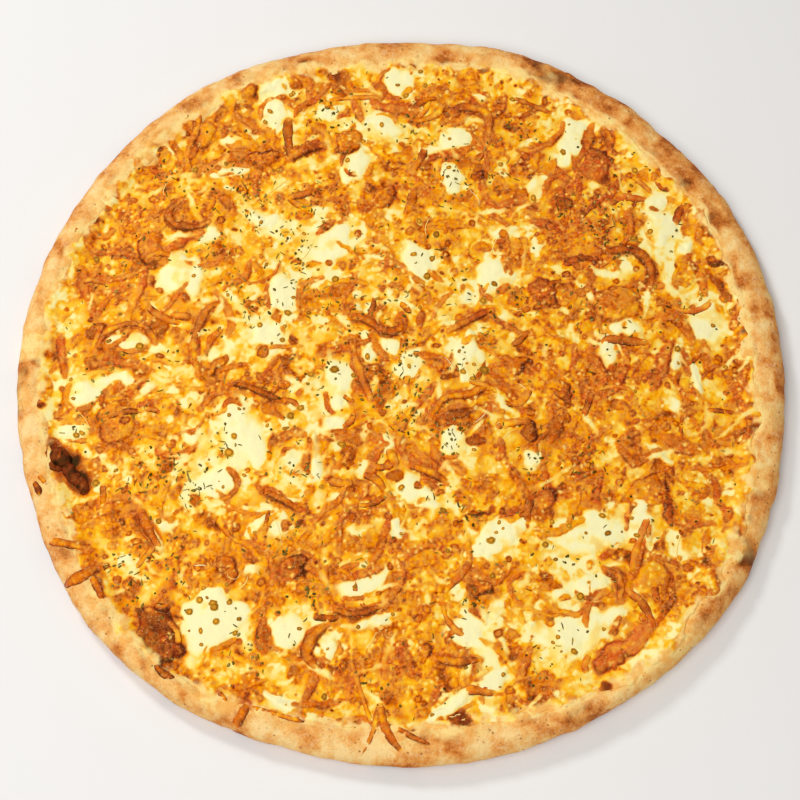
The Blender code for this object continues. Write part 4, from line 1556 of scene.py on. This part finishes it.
@dataclass
class StripLayer:
    """Strips of browned cheese that lie half sunk on the sheet, all swept from one tube.

    The tube has so many sides and rings, and each route so many stations; flatness is how thick a
    strip is against its width, and seed starts the noises that shape it.
    """

    relief: Relief
    name: str
    sides: int
    rings: int
    stations: int = 24
    flatness: float = 0.5
    seed: int = 81

    def tube(self) -> Template:
        """A round-ended tube, modelled as a ball of rings from pole to pole."""
        deselect()
        bpy.ops.mesh.primitive_uv_sphere_add(segments=self.sides, ring_count=self.rings, radius=1.0)
        return Template.from_active()

    def build(
        self,
        routes: Array,
        widths: Array,
        tones: Array,
        material: Material,
        replaced: Iterable[str] = (),
    ) -> Object:
        """Makes one object of all the strips.

        Args:
            routes: the points that each strip's middle runs through, strips by stations by 2.
            widths: each strip's width in metres.
            tones: how browned each strip is.
            material: their finish.
            replaced: the CAD nodes they stand for.

        Returns:
            The object.
        """
        tube = self.tube()
        place = 0.5 + 0.5 * np.clip(tube.points[:, 2], -1, 1)
        around = np.arctan2(tube.points[:, 1], tube.points[:, 0])
        girth = np.sqrt(np.clip(1 - np.abs(tube.points[:, 2]) ** 3.2, 0, 1))
        spot = place * (self.stations - 1)
        heading = np.gradient(routes, axis=1)
        heading /= np.linalg.norm(heading, axis=2, keepdims=True)
        side = sampled(np.stack((-heading[..., 1], heading[..., 0]), axis=2), spot)
        ground = self.relief.height_at(routes[..., 0], routes[..., 1])
        for _ in range(6):
            ground[:, 1:-1] = 0.25 * ground[:, :-2] + 0.5 * ground[:, 1:-1] + 0.25 * ground[:, 2:]
        middle = sampled(routes, spot)
        swell = 1 + 0.26 * lattice_noise(middle[..., 0], middle[..., 1], 4 * MM, self.seed)
        swell += 0.14 * lattice_noise(middle[..., 0], middle[..., 1], 1.5 * MM, self.seed + 2)
        across = 0.5 * widths[:, None] * girth * swell * np.cos(around)
        flat = middle + side * across[..., None]
        x, y = flat[..., 0], flat[..., 1]
        lumps = layered_noise(x, y, 1.8 * MM, self.seed + 1)
        top = np.clip(np.sin(around), 0, 1)
        thick = 0.5 * self.flatness * widths[:, None] * girth * swell
        z = sampled(ground, spot) + 0.05 * self.flatness * widths[:, None] + thick * np.sin(around)
        run = place * np.linalg.norm(np.diff(routes, axis=1), axis=2).sum(axis=1)[:, None]
        ribs = lattice_noise(run + np.arange(len(routes))[:, None], across * 0.3, 1.0 * MM, self.seed + 3)
        z += (0.20 * lumps + 0.16 * ribs) * MM * top
        z -= 0.5 * MM * np.abs(2 * place - 1) ** 6
        obj = tube.repeated(self.name, np.stack((x, y, z), axis=2))
        end = smooth_step(0.0, 0.18, place) * smooth_step(1.0, 0.82, place)
        below = np.clip(self.relief.read(self.relief.tone, x, y), 0, 1)
        edge = np.abs(np.cos(around)) ** 3
        # Painted shade: each strip is darker on its side that faces the front (-y).
        lower = np.clip(-np.cos(around) * side[..., 1], 0, 1)
        broad = layered_noise(x, y, 6 * MM, self.seed + 4)
        own = tones[:, None] + 0.04 * edge + 0.26 * lower**2 + 0.10 * lumps + 0.07 * ribs + 0.14 * broad
        # Painted highlight: lighter along the top of each strip.
        own += 0.08 - 0.16 * top**3
        store(obj, "tone", (below + (own - below) * end).ravel())
        ruddy = 0.32 + 0.5 * broad + 0.35 * smooth_step(0.03, 0.09, x)
        store(obj, "red", (np.clip(ruddy, 0, 0.85) * end).ravel())
        return dress(obj, material, replaced)


@dataclass
class BrownedStrips:
    """All the browned strips that stand up: the CAD's, further listed ones, and grated ones at random."""

    relief: Relief
    grated: int = 72
    crust_from: float = 149.0  # further out than this, in millimetres, a strip reaches the crust

    def build(self, material: Material) -> None:
        """Makes the strips' two objects."""
        fine = StripLayer(self.relief, "browned_strips", sides=20, rings=64, flatness=0.26)
        on_crust = [
            plan for plan in STRIPS_BY_HAND if max(math.hypot(*spot) for spot in plan[2]) > self.crust_from
        ]
        plans = [*STRIPS_IN_CAD, *on_crust]
        fine.build(*planned(plans, fine.stations, 0.7 * MM), material, nodes_named("browned_strip"))
        coarse = StripLayer(self.relief, "grated_strips", sides=12, rings=30, flatness=0.20, seed=83)
        self._grated(coarse, material)

    def _grated(self, layer: StripLayer, material: Material) -> None:
        """Scatters grated strips over the sheet, fewer on the white pools."""
        rng = np.random.default_rng(9)
        routes, widths, tones = [], [], []
        while len(routes) < self.grated:
            x, y = in_disc(rng, 148 * MM)
            heading, length = rng.uniform(0, math.tau), float(np.clip(rng.lognormal(2.5, 0.42), 5, 32)) * MM
            bend, hook, width = rng.normal(0, 1.1), rng.normal(0, 0.7), rng.uniform(2.0, 3.8) * MM
            if self.relief.at_point(self.relief.white, x, y) > 0.5 and rng.uniform() < 0.75:
                continue
            routes.append(arc_route(x, y, heading, length, bend, hook, layer.stations))
            widths.append(min(width, 0.42 * length))
            tones.append(rng.uniform(0.44, 0.72))
        layer.build(np.array(routes), np.array(widths), np.array(tones), material)


@dataclass
class BurntBits:
    """Charred crusts of cheese that stand up from the sheet's burnt streak."""

    relief: Relief
    plans: tuple[StripPlan, ...] = (
        (7.0, 0.9, ((-147, -34), (-143, -36), (-139, -40))),
        (6.0, 0.9, ((-141, -38), (-138, -43), (-134, -47))),
        (5.0, 0.9, ((-136, -44), (-133, -48), (-131, -52))),
        (3.6, 0.9, ((-147, -38), (-145, -41), (-141, -41))),
        (3.0, 0.9, ((-153, -47), (-151, -50), (-150, -53))),
    )

    def build(self, material: Material) -> Object:
        """Lays the charred bits in place of the CAD's burnt lump."""
        layer = StripLayer(self.relief, "burnt_bits", sides=12, rings=16, flatness=0.6, seed=95)
        obj = layer.build(*planned(self.plans, layer.stations, MM), material, ["burnt_lump"])
        points = points_of(obj)
        rough = layered_noise(points[:, 0], points[:, 1], 2.2 * MM, 96)
        points[:, 2] += 0.45 * MM * rough
        move_points(obj, points)
        store(obj, "char", 0.60 + 0.5 * rough)
        return obj


# ---------------------------------------------------------------- small toppings


@dataclass
class Herbs:
    """Dried herbs in loose clusters: short dashes and small curled leaves.

    A cluster has its x, y and reach in millimetres and half its number of flakes.
    """

    relief: Relief
    clusters: tuple[tuple[float, float, float, int], ...] = (
        (3, 12, 6, 14), (-5, 0, 6, 8), (-8, -8, 5, 9), (4, -19, 6, 12), (9, -8, 4, 7), (25, 5, 6, 8),
        (38, 22, 5, 6), (22, -26, 6, 12), (-34, 3, 7, 7), (-18, 30, 6, 7), (-3, 36, 8, 9),
        (-96, -41, 6, 12), (-108, -47, 6, 10), (-88, -49, 6, 16), (-75, -31, 5, 9), (-107, -92, 6, 12),
        (-96, -80, 6, 8), (-115, -81, 4, 6), (-48, -77, 6, 8), (-43, -40, 6, 9), (-43, -64, 2, 5),
        (-39, -92, 6, 10), (-104, 97, 7, 8), (-72, 88, 9, 14), (-60, 77, 7, 10), (-42, 80, 9, 18),
        (-46, 62, 8, 14), (-83, 58, 7, 14), (-42, 45, 7, 10), (-63, 32, 6, 12), (-72, 42, 5, 7),
        (-32, 33, 5, 8), (-30, 128, 9, 16), (23, 96, 7, 14), (42, 93, 5, 6), (75, 79, 6, 8),
        (88, 68, 7, 12), (97, 62, 5, 8), (89, 82, 6, 8), (52, 34, 4, 6), (78, 33, 6, 8), (91, 20, 6, 7),
        (27, 42, 5, 5), (20, -27, 5, 7), (56, -38, 6, 8), (31, -61, 4, 8), (70, -81, 3, 3),
        (80, -43, 7, 10), (20, -54, 5, 6), (50, 112, 7, 8), (8, 118, 7, 8), (-88, 12, 6, 6),
        (-120, 50, 8, 8), (-132, -20, 6, 7), (118, -60, 7, 7), (30, -100, 7, 8), (-62, -120, 7, 8),
        (60, -124, 7, 6), (120, 30, 6, 6), (-10, -140, 8, 6),
    )
    loose: int = 560

    def build(self, material: Material) -> Object:
        """Scatters the flakes and joins them."""
        deselect()
        bpy.ops.mesh.primitive_ico_sphere_add(subdivisions=1, radius=1.0)
        flake = Template.from_active()
        rng = np.random.default_rng(12)
        spots = [
            rng.normal((x, y), 0.75 * reach, (2 * count, 2)) * MM for x, y, reach, count in self.clusters
        ]
        spots.append(np.stack(in_disc(rng, 150 * MM, self.loose), axis=1))
        place = np.vstack(spots)
        count = len(place)
        dash = rng.uniform(0, 1, count) < 0.6
        length = np.where(dash, rng.uniform(1.4, 4.0, count), rng.uniform(1.2, 2.6, count)) * MM
        width = np.where(dash, rng.uniform(0.35, 0.65, count), rng.uniform(0.8, 1.4, count)) * MM
        crumb = rng.uniform(0, 1, count) < 0.35
        length = np.where(crumb, rng.uniform(0.8, 1.6, count) * MM, length)
        thick = rng.uniform(0.18, 0.35, count) * MM
        turn = rng.uniform(0, math.tau, count)
        pitch = rng.normal(0, 0.22, count)
        curl = rng.uniform(-0.5, 0.5, count)
        along = flake.points[None, :, 0] * 0.5 * length[:, None]
        across = flake.points[None, :, 1] * 0.5 * width[:, None] + curl[:, None] * along**2 / length[:, None]
        lift = flake.points[None, :, 2] * 0.5 * thick[:, None] + along * np.sin(pitch)[:, None]
        base = self.relief.height_at(place[:, 0], place[:, 1]) + 0.12 * MM
        z = base[:, None] + lift
        obj = flake.repeated("dried_herbs", np.stack((*laid_out(place, turn, along, across), z), axis=2))
        tone = np.clip(rng.beta(1.2, 1.6, count)[:, None] + 0 * z, 0, 1)
        store(obj, "tone", tone.ravel())
        obj.data.materials.append(material)
        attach(obj, "root")
        LOG.info("%s: %d flakes", obj.name, count)
        return obj


@dataclass
class Blisters:
    """Small round blisters with dark rings, most of them on the white pools.

    Those that are marked have their x, y and size in millimetres; on_pools more are picked from tries
    at random.
    """

    relief: Relief
    tries: int = 6000
    on_pools: int = 190
    marked: tuple[tuple[float, float, float], ...] = (
        (-82, -97, 3.4), (-76, -100, 3.8), (-86, -102, 3.2), (-75, -106, 3.0), (-70, -98, 2.6),
        (-81, -110, 2.8), (-112, 14, 4.0), (6, 57, 3.4), (41, 43, 3.2), (36, 35, 3.4), (73, 107, 3.6),
        (110, 68, 3.4), (-28, 3, 4.2), (-38, 1, 3.6), (27, 2, 3.0), (-14, 9, 3.2), (36, 3, 4.6),
        (31, -1, 3.0), (-72, -34, 4.6), (86, -69, 3.2), (70, -66, 3.0), (63, -64, 2.8), (98, -70, 3.0),
        (60, -74, 3.0),
    )

    def build(self, material: Material) -> Object:
        """Places the blisters and joins them."""
        deselect()
        bpy.ops.mesh.primitive_uv_sphere_add(segments=10, ring_count=8, radius=1.0)
        obj = bpy.context.active_object
        delete_points(obj, points_of(obj)[:, 2] < -0.1)
        dome = Template.from_active()
        relief = self.relief
        rng = np.random.default_rng(15)
        x, y = in_disc(rng, 148 * MM, self.tries)
        chance = 0.10 + 0.9 * (relief.read(relief.white, x, y) > 0.4)
        kept = np.flatnonzero(rng.uniform(0, 1, self.tries) < chance)[: self.on_pools]
        marks = np.array(self.marked) * MM
        place = np.vstack((np.stack((x[kept], y[kept]), axis=1), marks[:, :2]))
        count = len(place)
        size = np.concatenate((np.clip(rng.lognormal(0.75, 0.35, len(kept)), 1.0, 3.8) * MM, marks[:, 2]))
        squeeze, turn = rng.uniform(0.65, 1.0, count), rng.uniform(0, math.tau, count)
        wobble = 1 + 0.12 * rng.normal(0, 1, (count, len(dome.points)))
        along = dome.points[None, :, 0] * 0.5 * size[:, None] * wobble
        across = dome.points[None, :, 1] * 0.5 * (size * squeeze)[:, None] * wobble
        ring = np.hypot(dome.points[:, 0], dome.points[:, 1])
        rise = 0.16 * size[:, None] * (dome.points[:, 2] * (0.6 + 0.9 * ring))[None]
        z = relief.height_at(place[:, 0], place[:, 1])[:, None] - 0.05 * MM + rise
        placed = np.stack((*laid_out(place, turn, along, across), z), axis=2)
        blisters = dome.repeated("browned_blisters", placed)
        store(blisters, "ring", np.tile(ring, count))
        store(blisters, "tone", np.repeat(rng.uniform(0, 1, count) ** 1.5, len(ring)))
        return dress(blisters, material)


@dataclass
class Threads:
    """Thin pale strands of cheese, drawn out and shiny."""

    relief: Relief
    count: int = 22

    def build(self, material: Material) -> Object:
        """Lays the strands and joins them."""
        rng = np.random.default_rng(18)
        layer = StripLayer(self.relief, "cheese_threads", sides=5, rings=10, stations=16, flatness=0.8)
        tube = layer.tube()
        routes = []
        for _ in range(self.count):
            x, y = in_disc(rng, 146 * MM)
            length, bend, hook = rng.uniform(4, 13) * MM, rng.normal(0, 1.2), rng.normal(0, 0.9)
            routes.append(arc_route(x, y, rng.uniform(0, math.tau), length, bend, hook, layer.stations))
        lines = np.array(routes)
        last = layer.stations - 1
        spot = np.clip((0.5 + 0.5 * tube.points[:, 2]) * last, 0, last)
        middle = sampled(lines, spot)
        width = rng.uniform(0.3, 0.6, self.count)[:, None] * MM
        heading = np.gradient(lines, axis=1)[:, np.minimum(spot.astype(int), last - 1)]
        heading /= np.linalg.norm(heading, axis=2, keepdims=True)
        x = middle[..., 0] - heading[..., 1] * tube.points[None, :, 0] * 0.5 * width
        y = middle[..., 1] + heading[..., 0] * tube.points[None, :, 0] * 0.5 * width
        ground = self.relief.height_at(middle[..., 0], middle[..., 1])
        z = ground + 0.1 * MM + tube.points[None, :, 1] * 0.5 * width
        obj = tube.repeated(layer.name, np.stack((x, y, z), axis=2))
        store(obj, "tone", np.repeat(rng.uniform(0, 1, self.count), len(tube.points)))
        return dress(obj, material)


# ---------------------------------------------------------------- crust


@dataclass
class Crust:
    """The dough's skin: the CAD crust rounded and given the small unevenness of baked dough."""

    relief: Relief
    rounding: int = 3
    lump_height: float = 0.8 * MM

    def build(self, material: Material) -> Object:
        """Makes the crust piece."""
        obj = copy_of_node("crust", "crust_skin")
        apply_subdivision(obj, self.rounding)
        points = points_of(obj)
        normals = np.empty(len(obj.data.vertices) * 3, np.float32)
        obj.data.vertices.foreach_get("normal", normals)
        normals = normals.reshape(-1, 3)
        x, y, z = points.T
        radius = np.hypot(x, y)
        round_rim = smooth_step(0.120, 0.140, radius) * smooth_step(0.2 * MM, 3.0 * MM, z)
        around = np.arctan2(y, x) * 0.16
        lumps = 0.5 * layered_noise(around, z + radius, 14 * MM, 71)
        lumps += 0.42 * layered_noise(around, 1.6 * (z + radius), 7 * MM, 76)
        lumps += 0.20 * layered_noise(around * 0.5, z + radius, 3.5 * MM, 72)
        points += normals * (self.lump_height * lumps * round_rim)[:, None]
        move_points(obj, points)
        self._colour(obj, points, radius)
        return dress(obj, material, ["crust"])

    def _colour(self, obj: Object, points: Array, radius: Array) -> None:
        """Stores how baked the dough is and where thin cheese has spilt over it.

        Args:
            obj: the crust piece.
            points: its points.
            radius: their distances from the middle before they were made uneven.
        """
        x, y, z = points.T
        edge = self.relief.read(self.relief.edge, x, y)
        stain = smooth_step(0.0, 0.8, layered_noise(x, y, 15 * MM, 75)) * smooth_step(-13 * MM, -2 * MM, edge)
        near_cheese = np.where(radius < 0.155, smooth_step(-9 * MM, 0.0, edge), 0.0)
        side = smooth_step(8.5 * MM, 2.5 * MM, z) * smooth_step(0.15, 0.158, radius)
        under = smooth_step(1.5 * MM, 0.2 * MM, z)
        baked = 0.30 + 0.34 * stain + 0.06 * near_cheese + 0.34 * side + 0.35 * under
        baked += 0.22 * smooth_step(0.0, 0.09, x) * smooth_step(0.02, 0.12, y)
        baked += 0.20 * around_spot(x, y, (135, -90), 45)
        store(obj, "baked", baked)
        reach = (7.0 + 5.0 * bell(np.arctan2(y, x), -0.6, 0.5)) * MM
        spill = smooth_step(-1.0, 0.0, (edge + 3.0 * MM * layered_noise(x, y, 9 * MM, 73)) / reach)
        cream = 0.8 * spill * np.clip(0.5 + layered_noise(x, y, 12 * MM, 74), 0, 1)
        store(obj, "cream", np.maximum(cream, smooth_step(-3.0 * MM, -0.8 * MM, edge)))


# ---------------------------------------------------------------- studio


@dataclass
class Studio:
    """Floor, lights and camera."""

    distance: float = 0.75
    elevation: float = 70.0
    lens: float = 79.0
    aim: tuple[float, float, float] = (0.0, -0.0105, 0.010)

    def build(self) -> None:
        """Makes the floor, the lights and the camera."""
        self._floor()
        self._lights()
        self._camera()
        scene = bpy.context.scene
        scene.view_settings.view_transform = "Standard"
        scene.view_settings.look = "None"

    def _floor(self) -> None:
        """A large pale floor just under the pizza."""
        deselect()
        bpy.ops.mesh.primitive_plane_add(size=12.0, location=(0.0, 0.0, 0.0))
        floor = bpy.context.active_object
        floor.name = "floor"
        nodes = Nodes("floor")
        nodes.shader.inputs["Base Color"].default_value = (0.82, 0.82, 0.82, 1.0)
        nodes.shader.inputs["Roughness"].default_value = 0.9
        floor.data.materials.append(nodes.material)

    @staticmethod
    def _area_light(name: str, place: tuple[float, float, float], size: float, power: float) -> None:
        """A square soft light that faces the pizza."""
        data = bpy.data.lights.new(name, "AREA")
        data.size = size
        data.energy = power
        light = bpy.data.objects.new(name, data)
        light.location = place
        light.rotation_euler = (-Vector(place)).to_track_quat("-Z", "Y").to_euler()
        bpy.context.scene.collection.objects.link(light)

    def _lights(self) -> None:
        """A big soft light from the front left, a small bright one from the back, and a pale surround."""
        self._area_light("soft", (-0.28, -0.45, 1.18), 0.9, 10.8)
        self._area_light("key", (-0.55, 0.65, 0.85), 0.22, 5.0)
        world = bpy.data.worlds.new("surround")
        world.use_nodes = True
        world.node_tree.nodes["Background"].inputs["Color"].default_value = (1.0, 0.93, 0.82, 1.0)
        world.node_tree.nodes["Background"].inputs["Strength"].default_value = 0.30
        bpy.context.scene.world = world

    def _camera(self) -> None:
        """A camera that looks down on the pizza from the front."""
        lift = math.radians(self.elevation)
        place = Vector((0.0, -self.distance * math.cos(lift), 0.010 + self.distance * math.sin(lift)))
        data = bpy.data.cameras.new("camera")
        data.lens = self.lens
        camera = bpy.data.objects.new("camera", data)
        camera.location = place
        camera.rotation_euler = (Vector(self.aim) - place).to_track_quat("-Z", "Y").to_euler()
        bpy.context.scene.collection.objects.link(camera)
        bpy.context.scene.camera = camera


def main() -> None:
    """Builds the pizza, its finishes and the studio."""
    logging.basicConfig(level=logging.INFO, format="%(message)s")
    cheese = CheeseFinish("melted_cheese").material()
    browned = CheeseFinish("browned_cheese", roughness=0.26, grain=0.14).material()
    greens = (srgb(70, 54, 18), srgb(130, 110, 42), srgb(190, 168, 94))
    yellows = (srgb(254, 214, 110), srgb(254, 224, 130), srgb(252, 238, 180))
    herb = PlainFinish("dried_herbs", *greens, roughness=0.6)
    thread = PlainFinish("cheese_threads", *yellows, roughness=0.25)
    relief = Relief()
    sheet = CheeseSheet(relief)
    sheet.shape()
    sheet.build(cheese)
    Crust(relief).build(CrustFinish().material())
    BrownedStrips(relief).build(browned)
    BurntBits(relief).build(browned)
    Herbs(relief).build(herb.material())
    Blisters(relief).build(BlisterFinish().material())
    Threads(relief).build(thread.material())
    Studio().build()


if __name__ == "__main__":
    main()
